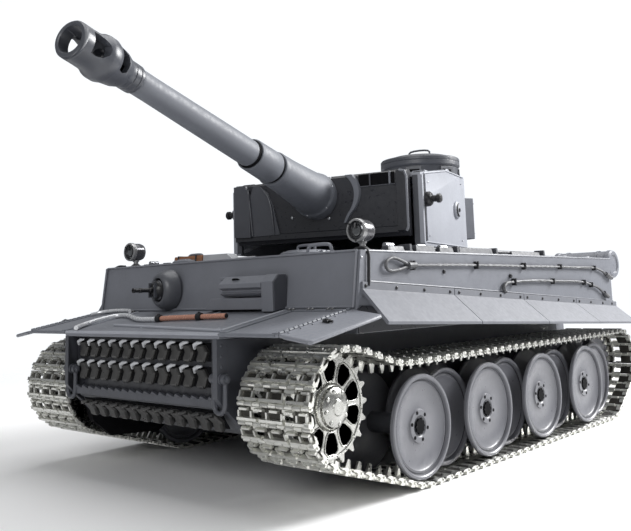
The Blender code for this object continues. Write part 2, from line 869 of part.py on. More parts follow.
def turret_shell():
    """The turret wall and roof: the roof's front half slopes down to the mantlet."""
    thick = 2.0
    pitch = (TURRET_TOP - TURRET_FRONT_TOP) / (TURRET_FOLD_Y - TURRET_FRONT)

    def sloped(name, plan, low, high):
        solid = slab(name, plan, low, high + 30)
        bm = bmesh.new()
        bm.from_mesh(solid.data)
        bpy.data.objects.remove(solid, do_unlink=True)
        level = Vector((0, TURRET_FOLD_Y * MM, high * MM))
        for normal in (Vector((0, 0, 1)), Vector((0, -pitch, 1)).normalized()):
            every = [*bm.verts, *bm.edges, *bm.faces]
            bmesh.ops.bisect_plane(
                bm, geom=every, plane_co=level, plane_no=normal, clear_outer=True, dist=1e-7
            )
            bmesh.ops.holes_fill(bm, edges=[e for e in bm.edges if e.is_boundary])
        return mesh_object(name, bm)

    outer = sloped("shell", horseshoe(TURRET_HALF, TURRET_FRONT), TURRET_BOTTOM, TURRET_TOP)
    inner = sloped(
        "hollow",
        horseshoe(TURRET_HALF - thick, TURRET_FRONT + thick),
        TURRET_BOTTOM - 10,
        TURRET_TOP - thick,
    )
    cupola_x, cupola_y = CUPOLA
    loader_x, loader_y = LOADER
    port = TURRET_HALF - 3.4
    shell = cut(
        outer,
        inner,
        box("gun_port", (-port, TURRET_FRONT - 5, 110.0), (port, TURRET_FRONT + 6, 156.4)),
        rod("cupola_hole", 19.0, (cupola_x, cupola_y, 150), (cupola_x, cupola_y, 180), 20),
        rod("loader_hole", 11.0, (loader_x, loader_y, 150), (loader_x, loader_y, 180), 16),
    )
    lugs = []
    for side in (1, -1):
        lugs.append(rod("lug", 2.6, (side * 60.5, -70, 144), (side * 66.0, -70, 144), 8))
        lugs.append(rod("lug_tip", 1.4, (side * 65.5, -70, 144), (side * 70.0, -70, 144), 8))
    return join(shell, *lugs)


def turret_ring():
    """The ring gear that the turret turns on, under a flange that closes its base."""
    return lathe(
        "ring",
        [(48.0, 116.7), (60.0, 116.7), (60.0, 114.2), (55.3, 114.2), (55.3, 101.0), (48.0, 101.0)],
        32,
    )


def stowage_bin():
    """The curved locker on the back of the turret."""
    plan = [*arc(TURRET_HALF + 22, 52, 128, 8), *arc(TURRET_HALF + GAP, 128, 52, 8)]
    return slab("bin", plan, 128.0, 158.0)


def cupola():
    """The commander's drum cupola, with a wider ring on top."""
    profile = [
        (17.0, CUPOLA_TOP - 0.5),
        (24.5, CUPOLA_TOP),
        (CUPOLA_RADIUS, CUPOLA_TOP - 1.2),
        (CUPOLA_RADIUS, CUPOLA_TOP - 6.5),
        (CUPOLA_RADIUS - 1.4, CUPOLA_TOP - 7.5),
        (CUPOLA_RADIUS - 1.4, TURRET_TOP + GAP),
        (17.0, TURRET_TOP + GAP),
    ]
    return lathe("drum", profile, 28, place=(*CUPOLA, 0))


def commander_hatch():
    """The round lid of the cupola, hinged at its rear, with a grab handle."""
    x, y = CUPOLA
    base = CUPOLA_TOP + GAP
    lid = lathe("lid", [(0, 1.6), (18.0, 1.4), (19.5, 0.6), (19.5, 0.0), (0, 0.0)], 20, place=(x, y, base))
    handle = wire(
        "handle",
        [(x - 7, y, base + 1), (x - 7, y, base + 4), (x + 7, y, base + 4), (x + 7, y, base + 1)],
        0.7,
        1,
    )
    hinge = box("hinge", (x - 5, y + 19, base), (x + 5, y + 22, base + 2.4))
    return join(lid, handle, hinge), (x, y + 21.5, base + 1.2)


def loader_hatch():
    """The loader's lid on the turret roof, hinged at its front."""
    x, y = LOADER
    base = TURRET_TOP + GAP
    plate = box("plate", (x - 14, y - 13, base), (x + 14, y + 13, base + 1.8))
    handle = wire(
        "handle",
        [(x - 5, y + 5, base + 1), (x - 5, y + 5, base + 4.4), (x + 5, y + 5, base + 4.4), (x + 5, y + 5, base + 1)],
        0.7,
        1,
    )
    hinge = box("hinge", (x - 8, y - 15, base), (x + 8, y - 12.5, base + 2.2))
    return join(plate, handle, hinge), (x, y - 14.5, base + 1.1)


# ---------------------------------------------------------------------------- gun


def along_gun(name, profile, steps):
    """A turned solid on the gun's axis: (radius, distance ahead of the trunnion)."""
    return lathe(name, profile, steps, turn=(90, 0, 0))


def mantlet():
    """The broad gun shield, its two-step sleeve and the cradle back to the trunnion."""
    shield = slab(
        "shield",
        [
            (-MANTLET_FRONT, -15.5),
            (-MANTLET_FRONT + 2, -17.5),
            (-MANTLET_BACK, -17.5),
            (-MANTLET_BACK, 19.5),
            (-MANTLET_FRONT + 2, 19.5),
            (-MANTLET_FRONT, 17.5),
        ],
        -MANTLET_HALF,
        MANTLET_HALF,
        "X",
    )
    tilt = Matrix.Rotation(radians(GUN_ELEVATION), 4, "X")
    shield.data.transform(tilt)
    sleeve = along_gun(
        "sleeve",
        [
            (0, COLLAR_END),
            (8.2, COLLAR_END),
            (8.5, SLEEVE_END),
            (9.6, SLEEVE_END),
            (10.2, 62.0),
            (12.6, 46.0),
            (12.6, 39.0),
            (7.5, 37.0),
            (7.5, 12.0),
            (0, 12.0),
        ],
        20,
    )
    bore = along_gun("bore", [(0, 130), (BARREL_RADIUS + 0.4, 130), (BARREL_RADIUS + 0.4, 40), (0, 40)], 20)
    return cut(join(shield, sleeve), bore)


def gun_barrel():
    """The tube, which slides back in the sleeve: plain bore, tapering to the muzzle."""
    return along_gun(
        "tube",
        [
            (BORE_RADIUS, BARREL_END),
            (BARREL_TIP_RADIUS, BARREL_END),
            (BARREL_TIP_RADIUS + 0.2, 200.0),
            (BARREL_RADIUS, COLLAR_END + 2),
            (BARREL_RADIUS, BARREL_ROOT),
            (BORE_RADIUS, BARREL_ROOT),
        ],
        18,
    )


def muzzle_brake():
    """A double-baffle brake, open at the front and through both pairs of side windows."""
    start = BARREL_END + GAP
    shell = along_gun(
        "brake",
        [
            (5.6, MUZZLE),
            (7.3, MUZZLE),
            (7.8, MUZZLE - 1.0),
            (7.8, MUZZLE - 5.5),
            (8.6, MUZZLE - 13.0),
            (9.45, MUZZLE - 15.0),
            (9.45, MUZZLE - 18.5),
            (8.6, MUZZLE - 21.0),
            (7.8, MUZZLE - 27.0),
            (6.3, MUZZLE - 33.0),
            (6.3, start),
            (BORE_RADIUS, start),
            (BORE_RADIUS, MUZZLE - 27.0),
            (5.6, MUZZLE - 26.5),
        ],
        20,
    )
    windows = []
    for near, far in ((MUZZLE - 5.5, MUZZLE - 13.5), (MUZZLE - 20.0, MUZZLE - 25.0)):
        windows.append(box("window", (-15, -near, -4.6), (15, -far, 4.6)))
    return cut(shell, *windows)


def bb_unit():
    """The pellet gun's motor and piston box behind the mantlet."""
    return box("unit", (-18, -10.0, -13), (18, 34, 13))


# ---------------------------------------------------------------------------- assembly


def build():
    paint = material("grey_paint", PAINT, 0.62)
    dark = material("dark_grey_paint", DARK_PAINT, 0.55)
    metal = material("track_metal", TRACK_METAL, 0.38, 0.9)
    silver = material("sprocket_metal", SILVER, 0.28, 0.95)
    black = material("black_plastic", BLACK, 0.5)
    board = material("board_green", (0.02, 0.14, 0.05), 0.45)
    wrap_blue = material("battery_wrap", (0.03, 0.08, 0.3), 0.35)

    hull = pivot("hull_frame", (0, HULL_SHIFT, 0))
    part(lower_hull(), "lower_hull", dark, parent=hull)
    part(upper_hull(), "upper_hull", paint, parent=hull)
    part(engine_deck(), "engine_deck", paint, parent=hull)
    part(driver_visor(), "driver_visor", paint, parent=hull)
    part(mg_housing(), "mg_ball_housing", paint, parent=hull)
    part(spare_rack_upper(), "spare_tracks_upper", metal, parent=hull)
    part(spare_rack_lower(), "spare_tracks_lower", metal, parent=hull)
    part(twin_gearbox(), "twin_gearbox", black, parent=hull)
    part(battery_pack(), "battery_pack", wrap_blue, parent=hull)
    part(circuit_board(), "circuit_board", board, parent=hull)

    part(bow_ball(), "bow_mg_ball", dark, MG_CENTRE, hull)
    part(bow_barrel(), "bow_mg_barrel", black, MG_CENTRE, hull)

    for side, word in ((1, "left"), (-1, "right")):
        part(side_skirt(side), f"{word}_side_skirt", paint, parent=hull)
        part(front_fender(side), f"{word}_front_fender", paint, parent=hull)
        hinge = (side * FENDER_HINGE_X, LIP_Y, LIP_Z)
        part(fender_flap(side), f"{word}_fender_flap", paint, hinge, hull)
        part(headlight(side), f"{word}_headlight", paint, parent=hull)
        part(exhaust(side), f"{word}_exhaust", dark, parent=hull)
        part(air_filter(side), f"{word}_air_filter", paint, parent=hull)
        lid, lid_hinge = roof_hatch(side)
        part(lid, "driver_hatch" if side > 0 else "radio_hatch", paint, lid_hinge, hull)
        lug = (side * (TUB_HALF - 1.5), *LUG_PIN)
        part(shackle(side), f"{word}_shackle", dark, lug, hull)
        part(track(side), f"{word}_track", metal, parent=hull)
        axle = (0, SPROCKET_Y, SPROCKET_Z)
        part(drive_sprocket(side), f"{word}_sprocket", silver, axle, hull)
        part(idler_wheel(side), f"{word}_idler", paint, (0, IDLER_Y, IDLER_Z), hull)
        for station in range(1, WHEEL_STATIONS + 1):
            wheel, centre = road_wheel(side, station)
            part(wheel, f"{word}_road_wheel_{station}", paint, centre, hull)

    turret = pivot("turret_pivot", (0, TURRET_Y, 0), (0, 0, TURRET_TRAVERSE), hull)
    part(turret_shell(), "turret_shell", paint, parent=turret)
    part(turret_ring(), "turret_ring", black, parent=turret)
    part(stowage_bin(), "stowage_bin", paint, parent=turret)
    part(cupola(), "cupola", paint, parent=turret)
    lid, lid_hinge = commander_hatch()
    part(lid, "commander_hatch", paint, lid_hinge, turret)
    lid, lid_hinge = loader_hatch()
    part(lid, "loader_hatch", paint, lid_hinge, turret)

    gun = pivot("gun_pivot", (0, TRUNNION_Y, TRUNNION_Z), (-GUN_ELEVATION, 0, 0), turret)
    part(mantlet(), "mantlet", dark, parent=gun)
    part(bb_unit(), "bb_unit", black, parent=gun)
    part(gun_barrel(), "gun_barrel", paint, parent=gun)
    part(muzzle_brake(), "muzzle_brake", paint, parent=gun)


build()
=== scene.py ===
import json
from math import asin, atan2, cos, degrees, hypot, pi, radians, sin, sqrt

import bmesh
import bpy
from mathutils import Matrix, Vector


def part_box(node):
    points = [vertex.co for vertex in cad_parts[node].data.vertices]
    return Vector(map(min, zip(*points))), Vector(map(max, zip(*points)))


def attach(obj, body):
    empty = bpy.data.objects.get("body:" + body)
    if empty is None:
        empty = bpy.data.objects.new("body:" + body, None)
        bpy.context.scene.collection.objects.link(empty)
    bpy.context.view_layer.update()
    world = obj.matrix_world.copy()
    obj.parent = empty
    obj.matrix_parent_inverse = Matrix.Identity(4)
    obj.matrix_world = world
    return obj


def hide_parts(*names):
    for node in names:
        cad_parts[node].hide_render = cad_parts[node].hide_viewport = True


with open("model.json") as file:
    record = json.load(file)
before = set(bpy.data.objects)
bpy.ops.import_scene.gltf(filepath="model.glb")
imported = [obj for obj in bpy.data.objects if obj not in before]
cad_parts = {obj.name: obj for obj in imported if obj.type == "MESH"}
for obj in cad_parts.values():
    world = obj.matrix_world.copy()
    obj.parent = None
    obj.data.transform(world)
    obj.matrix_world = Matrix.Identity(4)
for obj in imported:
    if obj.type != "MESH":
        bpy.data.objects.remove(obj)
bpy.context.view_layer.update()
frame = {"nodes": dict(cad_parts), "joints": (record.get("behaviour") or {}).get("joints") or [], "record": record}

MM = 0.001
nodes = frame["nodes"]
joints = {j["name"]: j for j in frame["joints"]}

# ------------------------------------------------------------------ frames of the hull, turret and gun
# Sizes are in millimetres.  The hull frame has its rear plate at y = 163 and the ground at z = 0.
HULL_REAR = 163.0
HULL_TOP = 111.5
hull_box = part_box("upper_hull")
HULL = Matrix.Translation((0, hull_box[1].y - HULL_REAR * MM, 0))

ring = Vector(joints["turret_traverse"]["pos_m"])
across = Vector(joints["gun_elevation"]["axis"])
traverse = atan2(-across.y, -across.x)
TURRET = Matrix.Translation((ring.x, ring.y, 0)) @ Matrix.Rotation(traverse, 4, "Z")
trunnion = Vector(joints["gun_elevation"]["pos_m"])
elevation = asin(-joints["barrel_recoil"]["axis"][2])
MANTLET = Matrix.Translation(trunnion) @ Matrix.Rotation(traverse, 4, "Z")
GUN = MANTLET @ Matrix.Rotation(-elevation, 4, "X")


# ------------------------------------------------------------------ materials
def ramp(tree, source, stops):
    """A colour ramp of (place, grey or colour) stops."""
    node = tree.nodes.new("ShaderNodeValToRGB")
    tree.links.new(source, node.inputs[0])
    elements = node.color_ramp.elements
    while len(elements) < len(stops):
        elements.new(0.5)
    for element, (place, value) in zip(elements, stops):
        element.position = place
        colour = value if isinstance(value, tuple) else (value,) * 3
        element.color = (*colour, 1.0)
    return node.outputs[0]


def noise(tree, scale, detail, stretch=None):
    """Noise in object space, with scale in features per metre."""
    place = tree.nodes.new("ShaderNodeTexCoord").outputs["Object"]
    if stretch:
        mapping = tree.nodes.new("ShaderNodeMapping")
        mapping.inputs["Scale"].default_value = stretch
        tree.links.new(place, mapping.inputs[0])
        place = mapping.outputs[0]
    node = tree.nodes.new("ShaderNodeTexNoise")
    node.inputs["Scale"].default_value = scale
    node.inputs["Detail"].default_value = detail
    node.inputs["Roughness"].default_value = 0.55
    tree.links.new(place, node.inputs["Vector"])
    return node.outputs["Fac"]


def mixed(tree, factor, a, b):
    """One colour mixed into another by a factor, which may be a socket."""
    node = tree.nodes.new("ShaderNodeMix")
    node.data_type = "RGBA"
    for socket, value in ((node.inputs[0], factor), (node.inputs[6], a), (node.inputs[7], b)):
        if isinstance(value, bpy.types.NodeSocket):
            tree.links.new(value, socket)
        elif isinstance(value, tuple):
            socket.default_value = (*value, 1.0)
        else:
            socket.default_value = value
    return node.outputs[2]


def finish(
    name, colour, rough, metal=0.0, vary=0.12, grain=2600.0, bump=0.12, edge=None, painted_crevice_shade=None,
    stretch=None, coat=0.0
):
    """A finish with mottled colour, uneven gloss and a fine grain. Its crevice colour darkens hollows as painted
    shade, and its edge colour lightens sharp edges as wear and a painted highlight.
    """
    made = bpy.data.materials.new(name)
    made.use_nodes = True
    tree = made.node_tree
    shader = tree.nodes["Principled BSDF"]
    shader.inputs["Metallic"].default_value = metal
    shader.inputs["Coat Weight"].default_value = coat
    low = tuple(c * (1 - vary) for c in colour)
    high = tuple(min(1.0, c * (1 + vary)) for c in colour)
    base = ramp(tree, noise(tree, 55.0, 5.0, stretch=stretch), ((0.3, low), (0.7, high)))
    if edge or painted_crevice_shade:
        shape = tree.nodes.new("ShaderNodeNewGeometry").outputs["Pointiness"]
        # painted shade: hollows found by pointiness are darkened towards the crevice colour
        if painted_crevice_shade:
            base = mixed(tree, ramp(tree, shape, ((0.40, 1.0), (0.49, 0.0))), base, painted_crevice_shade)
        # wear and painted highlight: sharp edges are lightened towards the edge colour
        if edge:
            base = mixed(tree, ramp(tree, shape, ((0.52, 0.0), (0.60, 0.85))), base, edge)
    tree.links.new(base, shader.inputs["Base Color"])
    gloss = ramp(tree, noise(tree, 420.0, 3.0, stretch=stretch), (
        (0.3, max(0.02, rough - 0.09)), (0.7, min(1, rough + 0.09))
    ))
    tree.links.new(gloss, shader.inputs["Roughness"])
    relief = tree.nodes.new("ShaderNodeBump")
    relief.inputs["Strength"].default_value = bump
    relief.inputs["Distance"].default_value = 0.0002
    tree.links.new(noise(tree, grain, 2.0, stretch=stretch), relief.inputs["Height"])
    tree.links.new(relief.outputs[0], shader.inputs["Normal"])
    return made


paint = finish("hull_paint", (0.165, 0.172, 0.195), 0.42, vary=0.07, grain=3000, bump=0.10)
dark = finish("dark_paint", (0.058, 0.061, 0.072), 0.40, vary=0.10, grain=3000, bump=0.10)
# near-black: the mantlet's colour, and also sheets of painted shade behind the spare links and under the skirts
mantlet_and_shade_dark = finish("mantlet_and_shade_dark", (0.022, 0.023, 0.028), 0.34, vary=0.12, grain=2500, bump=0.12)
# road wheel grey: a darker copy of the hull paint, painted shade for wheels lit less than the hull side
wheel_shaded_paint = finish("wheel_shaded_paint", (0.125, 0.127, 0.142), 0.36, vary=0.08, grain=3200, bump=0.08)
gun_paint = finish("gun_paint", (0.130, 0.138, 0.158), 0.54, vary=0.06, grain=3200, bump=0.08)
# a lighter copy of the hull paint: painted light for the brighter-lit turret sides, and a painted highlight on the
# glacis trim
lit_grey_paint = finish("lit_grey_paint", (0.31, 0.322, 0.358), 0.50, vary=0.06, grain=3000, bump=0.06)
# a darker copy of the hull paint: painted shade to dim the skirts, which face up into the light
skirt_shaded_paint = finish("skirt_shaded_paint", (0.135, 0.141, 0.160), 0.60, vary=0.07, grain=3000, bump=0.05)
brake_paint = finish("brake_paint", (0.062, 0.066, 0.078), 0.36, vary=0.08, grain=3200, bump=0.08)
cupola_paint = finish("cupola_paint", (0.082, 0.086, 0.098), 0.36, vary=0.10, grain=2800, bump=0.10)
# lamp steel: its lighter sharp edges are wear and a painted highlight
lamp_steel = finish("lamp_steel", (0.10, 0.10, 0.108), 0.26, 0.6, 0.2, 1800, 0.15, edge=(0.5, 0.5, 0.5))
# track metal: the dark crevice colour is painted shade in the recesses, and the bright edge colour is wear and a
# painted highlight for the glints on the teeth
metal = finish(
    "track_metal", (0.30, 0.295, 0.265), 0.33, 0.93, 0.35, 1800, 0.25, edge=(0.80, 0.80, 0.76),
    painted_crevice_shade=(0.04, 0.038, 0.03)
)
# near-black web under the link bars: painted shade in the gaps between them
link_gap_shade = finish("link_gap_shade", (0.045, 0.043, 0.038), 0.45, 0.8, 0.4, 1800, 0.25)
# spare links: a dark metal, darker than the running track; its crevice colour is painted shade and its lighter
# edges are wear and a painted highlight
dark_link_metal = finish(
    "spare_metal", (0.026, 0.025, 0.024), 0.36, 0.5, 0.30, 1800, 0.25, edge=(0.13, 0.13, 0.13),
    painted_crevice_shade=(0.01, 0.01, 0.01)
)
# sprocket metal: the crevice colour is painted shade in its hollows
silver = finish(
    "sprocket_metal", (0.42, 0.42, 0.40), 0.26, 0.97, 0.10, 1500, 0.18, painted_crevice_shade=(0.20, 0.20, 0.18)
)
steel = finish("steel", (0.42, 0.43, 0.45), 0.28, 0.9, 0.12, 1500, 0.12)
copper = finish("copper_rod", (0.70, 0.36, 0.26), 0.24, 0.6, 0.05, 300, 0.02)
bright_rod = finish("bright_rod", (0.66, 0.67, 0.69), 0.26, 0.3, 0.04, 300, 0.02)
cable = finish("cable_steel", (0.075, 0.076, 0.082), 0.55, 0.2, 0.25, 1500, 0.3)
black = finish("black_steel", (0.012, 0.012, 0.014), 0.38, 0.1, 0.2, 2000, 0.12)
wood = finish("tool_wood", (0.26, 0.115, 0.055), 0.5, 0.0, 0.35, 900, 0.25, stretch=(1, 8, 8))
# pale: the spade's own colour, and a painted highlight on the spare links' horn tips
pale = finish("pale_tool_and_highlight", (0.48, 0.49, 0.51), 0.4, 0.2, 0.1, 1500, 0.1)
# near-black with little reflection: painted shade in gaps, holes, slits and behind parts, and also some black
# parts
shade_and_black = finish("shade_and_black_finish", (0.004, 0.004, 0.005), 0.8, 0.0, 0.2, 1500, 0.05)
shade_and_black.node_tree.nodes["Principled BSDF"].inputs["Specular IOR Level"].default_value = 0.1
rubber = finish("tyre_dark", (0.045, 0.047, 0.055), 0.5, 0.1, 0.2, 2000, 0.15)
lens = finish("lamp_lens", (0.12, 0.125, 0.13), 0.10, 0.6, 0.3, 900, 0.1, coat=0.6)
board = finish("board", (0.02, 0.14, 0.05), 0.4, 0.0, 0.25, 2500, 0.1)
sleeve_blue = finish("battery_sleeve", (0.03, 0.08, 0.3), 0.3, 0.0, 0.1, 900, 0.1, coat=0.3)


# ------------------------------------------------------------------ mesh building
SHARP_FROM, BEVEL_FROM = 34.0, 32.0  # the least angles, in degrees, that stay sharp and get a bevel
SIDES = ((1, "left"), (-1, "right"))


class Piece:
    """A mesh made of many simple forms, in millimetres. Each form is placed by at and finished by use."""

    def __init__(self, first):
        self.bm = bmesh.new()
        self.finishes = [first]
        self.use = first
        self.at = Matrix.Identity(4)

    def _place(self, verts, faces):
        """Moves new vertices into the chosen frame and gives their faces the finish in use."""
        bmesh.ops.transform(self.bm, matrix=self.at, verts=verts)
        if self.use not in self.finishes:
            self.finishes.append(self.use)
        for face in faces:
            face.material_index = self.finishes.index(self.use)

    def loft(self, rings, caps=True, looped=False):
        """Skins a list of equal closed rings of points. Looped joins the last ring to the first."""
        made = [[self.bm.verts.new(p) for p in r] for r in rings]
        faces = []
        count = len(made[0])
        spans = list(zip(made, made[1:])) + ([(made[-1], made[0])] if looped else [])
        for a, b in spans:
            for k in range(count):
                n = (k + 1) % count
                faces.append(self.bm.faces.new((a[k], a[n], b[n], b[k])))
        if caps and not looped:
            faces.append(self.bm.faces.new(made[0][::-1]))
            faces.append(self.bm.faces.new(made[-1]))
        self._place([v for r in made for v in r], faces)

    def box(self, lo, hi, taper=0.0):
        """A box whose top is drawn in by the taper."""
        (x0, y0, z0), (x1, y1, z1), t = lo, hi, taper
        self.loft([
            [(x0, y0, z0), (x1, y0, z0), (x1, y1, z0), (x0, y1, z0)],
            [(x0 + t, y0 + t, z1), (x1 - t, y0 + t, z1), (x1 - t, y1 - t, z1), (x0 + t, y1 - t, z1)]
        ])

    def slab(self, side, x, y, z, taper=0.0):
        """A box between pairs of places, with x measured out to one side."""
        near, far = sorted((side * x[0], side * x[1]))
        self.box((near, y[0], z[0]), (far, y[1], z[1]), taper)

    def side_prism(self, side, outline, x0, x1):
        """A (y, z) outline run between two distances out to one side."""
        self.prism(outline, *sorted((side * x0, side * x1)), "X")

    def prism(self, outline, low, high, axis):
        """An outline in (y, z) for X, (x, z) for Y and (x, y) for Z, run from low to high."""
        place = {
            "X": lambda a, b, c: (c, a, b), "Y": lambda a, b, c: (a, c, b), "Z": lambda a, b, c: (a, b, c)
        }[axis]
        self.loft([[place(a, b, c) for a, b in outline] for c in (low, high)])

    def tube(self, points, radius, segments=10, radii=None, looped=False):
        """A round bar through the points, with one radius or one for each point."""
        points = [Vector(p) for p in points]
        rings = []
        normal = None
        for i, p in enumerate(points):
            if looped:
                along = points[(i + 1) % len(points)] - points[i - 1]
            else:
                along = points[min(i + 1, len(points) - 1)] - points[max(i - 1, 0)]
            along.normalize()
            if normal is None:
                normal = along.orthogonal().normalized()
            normal = (normal - along * normal.dot(along)).normalized()
            side = along.cross(normal)
            r = radii[i] if radii else radius
            rings.append([
                p + (normal * cos(a) + side * sin(a)) * r
                for a in (2 * pi * k / segments for k in range(segments))
            ])
        self.loft(rings, looped=looped)

    def rod(self, a, b, radius, segments=12):
        """A straight round bar."""
        self.tube((a, b), radius, segments)

    def lathe(self, profile, frame_=Matrix.Identity(4), segments=48, closed=False):
        """Turns a profile of (radius, height) about the frame's z."""
        rings = []
        for r, h in profile:
            r = max(r, 0.001)
            rings.append([
                frame_ @ Vector((r * cos(a), r * sin(a), h))
                for a in (2 * pi * k / segments for k in range(segments))
            ])
        self.loft(rings, looped=closed, caps=not closed)

    def disc(self, profile, place, segments, closed=False):
        """An upright turned form standing at a place."""
        self.lathe(profile, Matrix.Translation(place), segments, closed)

    def collar(self, profile, place, segments):
        """A ring round a bar that runs across the hull."""
        at = Matrix.Translation(place) @ Matrix.Rotation(pi / 2, 4, "Y")
        self.lathe(profile, at, segments, closed=True)

    def grip(self, centre, half, height, radius=0.7, lean=0.4, along="X"):
        """A square-shouldered loop handle, with its feet at the centre's height."""
        x, y, z = centre
        turn = (lambda u: (x + u, y)) if along == "X" else (lambda u: (x, y + u))
        ends = ((-half, 0), (lean - half, height), (half - lean, height), (half, 0))
        self.tube(curve_through([(*turn(u), z + rise) for u, rise in ends], 4), radius, 8)

    def bolt(self, place, normal, radius=0.8, height=0.6, sides=6, dome=True):
        """A bolt or rivet head standing on a surface."""
        turn = Vector(normal).normalized().to_track_quat("Z", "Y").to_matrix().to_4x4()
        at = Matrix.Translation(place) @ turn
        top = [(radius * 0.95, height * 0.7), (radius * 0.6, height)] if dome else [(radius, height)]
        self.lathe([(radius, -0.2), *([(radius, height * 0.2)] if dome else []), *top], at, sides)

    def emit(
        self, name, at=HULL, body="hull", replaces=(), bevel=0.0, smooth=SHARP_FROM,
        steps=2
    ):
        """Makes the object, rounds its edges and gives it to a body."""
        bmesh.ops.recalc_face_normals(self.bm, faces=self.bm.faces)
        bmesh.ops.scale(self.bm, vec=(MM, MM, MM), verts=self.bm.verts)
        mesh = bpy.data.meshes.new(name)
        self.bm.to_mesh(mesh)
        self.bm.free()
        mesh.transform(at)
        for made in self.finishes:
            mesh.materials.append(made)
        obj = bpy.data.objects.new(name, mesh)
        bpy.context.scene.collection.objects.link(obj)
        mesh.shade_smooth()
        mesh.set_sharp_from_angle(angle=radians(smooth))
        if bevel:
            add_bevel(obj, bevel, steps)
        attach(obj, body)
        if replaces:
            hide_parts(*replaces)
        return obj


def add_bevel(obj, width, steps=2):
    """Rounds the sharp edges by a width in millimetres."""
    edge = obj.modifiers.new("edge", "BEVEL")
    edge.width = width * MM
    edge.segments = steps
    edge.limit_method = "ANGLE"
    edge.angle_limit = radians(BEVEL_FROM)
    edge.harden_normals = True


def body_of(node):
    """The moving body that a CAD node belongs to."""
    return next(b for b, members in frame["record"]["behaviour"]["bodies"].items() if node in members)


def softened(node, made, width=0.35):
    """A copy of a CAD node with rounded edges, which stands for it."""
    mesh = nodes[node].data.copy()
    bm = bmesh.new()
    bm.from_mesh(mesh)
    bmesh.ops.remove_doubles(bm, verts=bm.verts, dist=2e-6)
    bmesh.ops.dissolve_limit(bm, angle_limit=radians(1.0), verts=bm.verts, edges=bm.edges)
    bmesh.ops.recalc_face_normals(bm, faces=bm.faces)
    bm.to_mesh(mesh)
    bm.free()
    mesh.materials.clear()
    mesh.materials.append(made)
    mesh.shade_smooth()
    mesh.set_sharp_from_angle(angle=radians(SHARP_FROM))
    obj = bpy.data.objects.new(f"{node}_shell", mesh)
    bpy.context.scene.collection.objects.link(obj)
    add_bevel(obj, width)
    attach(obj, body_of(node))
    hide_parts(node)


def axle(side, y, z):
    """The frame whose z runs out sideways from the hull."""
    return Matrix.Translation((0, y, z)) @ Matrix.Rotation(side * pi / 2, 4, "Y")


def ring_of(count, radius, start=0.0):
    """Places evenly spaced round a circle."""
    turns = (start + 2 * pi * i / count for i in range(count))
    return [(radius * cos(a), radius * sin(a)) for a in turns]


# ------------------------------------------------------------------ running gear
WHEEL_R, WHEEL_Z, FIRST_Y, PITCH_Y = 24.5, 27.8, -100.0, 32.2
SPROCKET = (-158.3, 43.6, 24.8)
IDLER = (153.0, 38.5, 18.5)
LINKS = 96
LIFT = 1.7


def tangent(a, b):
    """The straight run of a belt between two circles, outside both, going counter-clockwise."""
    dy, dz = b[0] - a[0], b[1] - a[1]
    span = hypot(dy, dz)
    uy, uz = dy / span, dz / span
    along = (a[2] - b[2]) / span
    side = sqrt(1 - along * along)
    ny, nz = uy * along + uz * side, uz * along - uy * side
    return (a[0] + a[2] * ny, a[1] + a[2] * nz), (b[0] + b[2] * ny, b[1] + b[2] * nz)


def around(circle, start, end, count=40):
    """Points on the belt's arc round a circle."""
    a = degrees(atan2(start[1] - circle[1], start[0] - circle[0]))
    b = degrees(atan2(end[1] - circle[1], end[0] - circle[0]))
    while b < a:
        b += 360
    return [
        (circle[0] + circle[2] * cos(radians(t)), circle[1] + circle[2] * sin(radians(t)))
        for t in (a + (b - a) * i / count for i in range(1, count))
    ]


def track_line():
    """The closed line (y, z) through the link pins, starting at the sprocket's top."""
    first = (FIRST_Y, WHEEL_Z, WHEEL_R + LIFT)
    last = (FIRST_Y + 7 * PITCH_Y, WHEEL_Z, WHEEL_R + LIFT)
    idler = (IDLER[0], IDLER[1], IDLER[2] + LIFT)
    s1, f1 = tangent(SPROCKET, first)
    f2, l1 = tangent(first, last)
    l2, i1 = tangent(last, idler)
    top = (idler[0], idler[1] + idler[2])
    crown = (SPROCKET[0], SPROCKET[1] + SPROCKET[2])
    points = [crown, *around(SPROCKET, crown, s1), s1, f1, *around(first, f1, f2, 12), f2, l1]
    points += [*around(last, l1, l2, 12), l2, i1, *around(idler, i1, top), top]
    rise = -112.0
    for i in range(24):
        t = i / 24
        ease = t * t * (3 - 2 * t)
        points.append((rise + (crown[0] - rise) * t, top[1] + (crown[1] - top[1]) * ease))
    return points


def stations(points, count):
    """Evenly spaced places along a closed line, as (y, z, direction), and their pitch."""
    ends = points[1:] + points[:1]
    spans = [hypot(b[0] - a[0], b[1] - a[1]) for a, b in zip(points, ends)]
    pitch = sum(spans) / count
    found = []
    gone, k = 0.0, 0
    for i in range(count):
        want = i * pitch
        while gone + spans[k] < want:
            gone += spans[k]
            k += 1
        share = (want - gone) / spans[k]
        a, b = points[k], ends[k]
        found.append((a[0] + (b[0] - a[0]) * share, a[1] + (b[1] - a[1]) * share))
    placed = []
    for i, (y, z) in enumerate(found):
        before, after = found[i - 1], found[(i + 1) % count]
        placed.append((y, z, atan2(after[1] - before[1], after[0] - before[0])))
    return placed, pitch


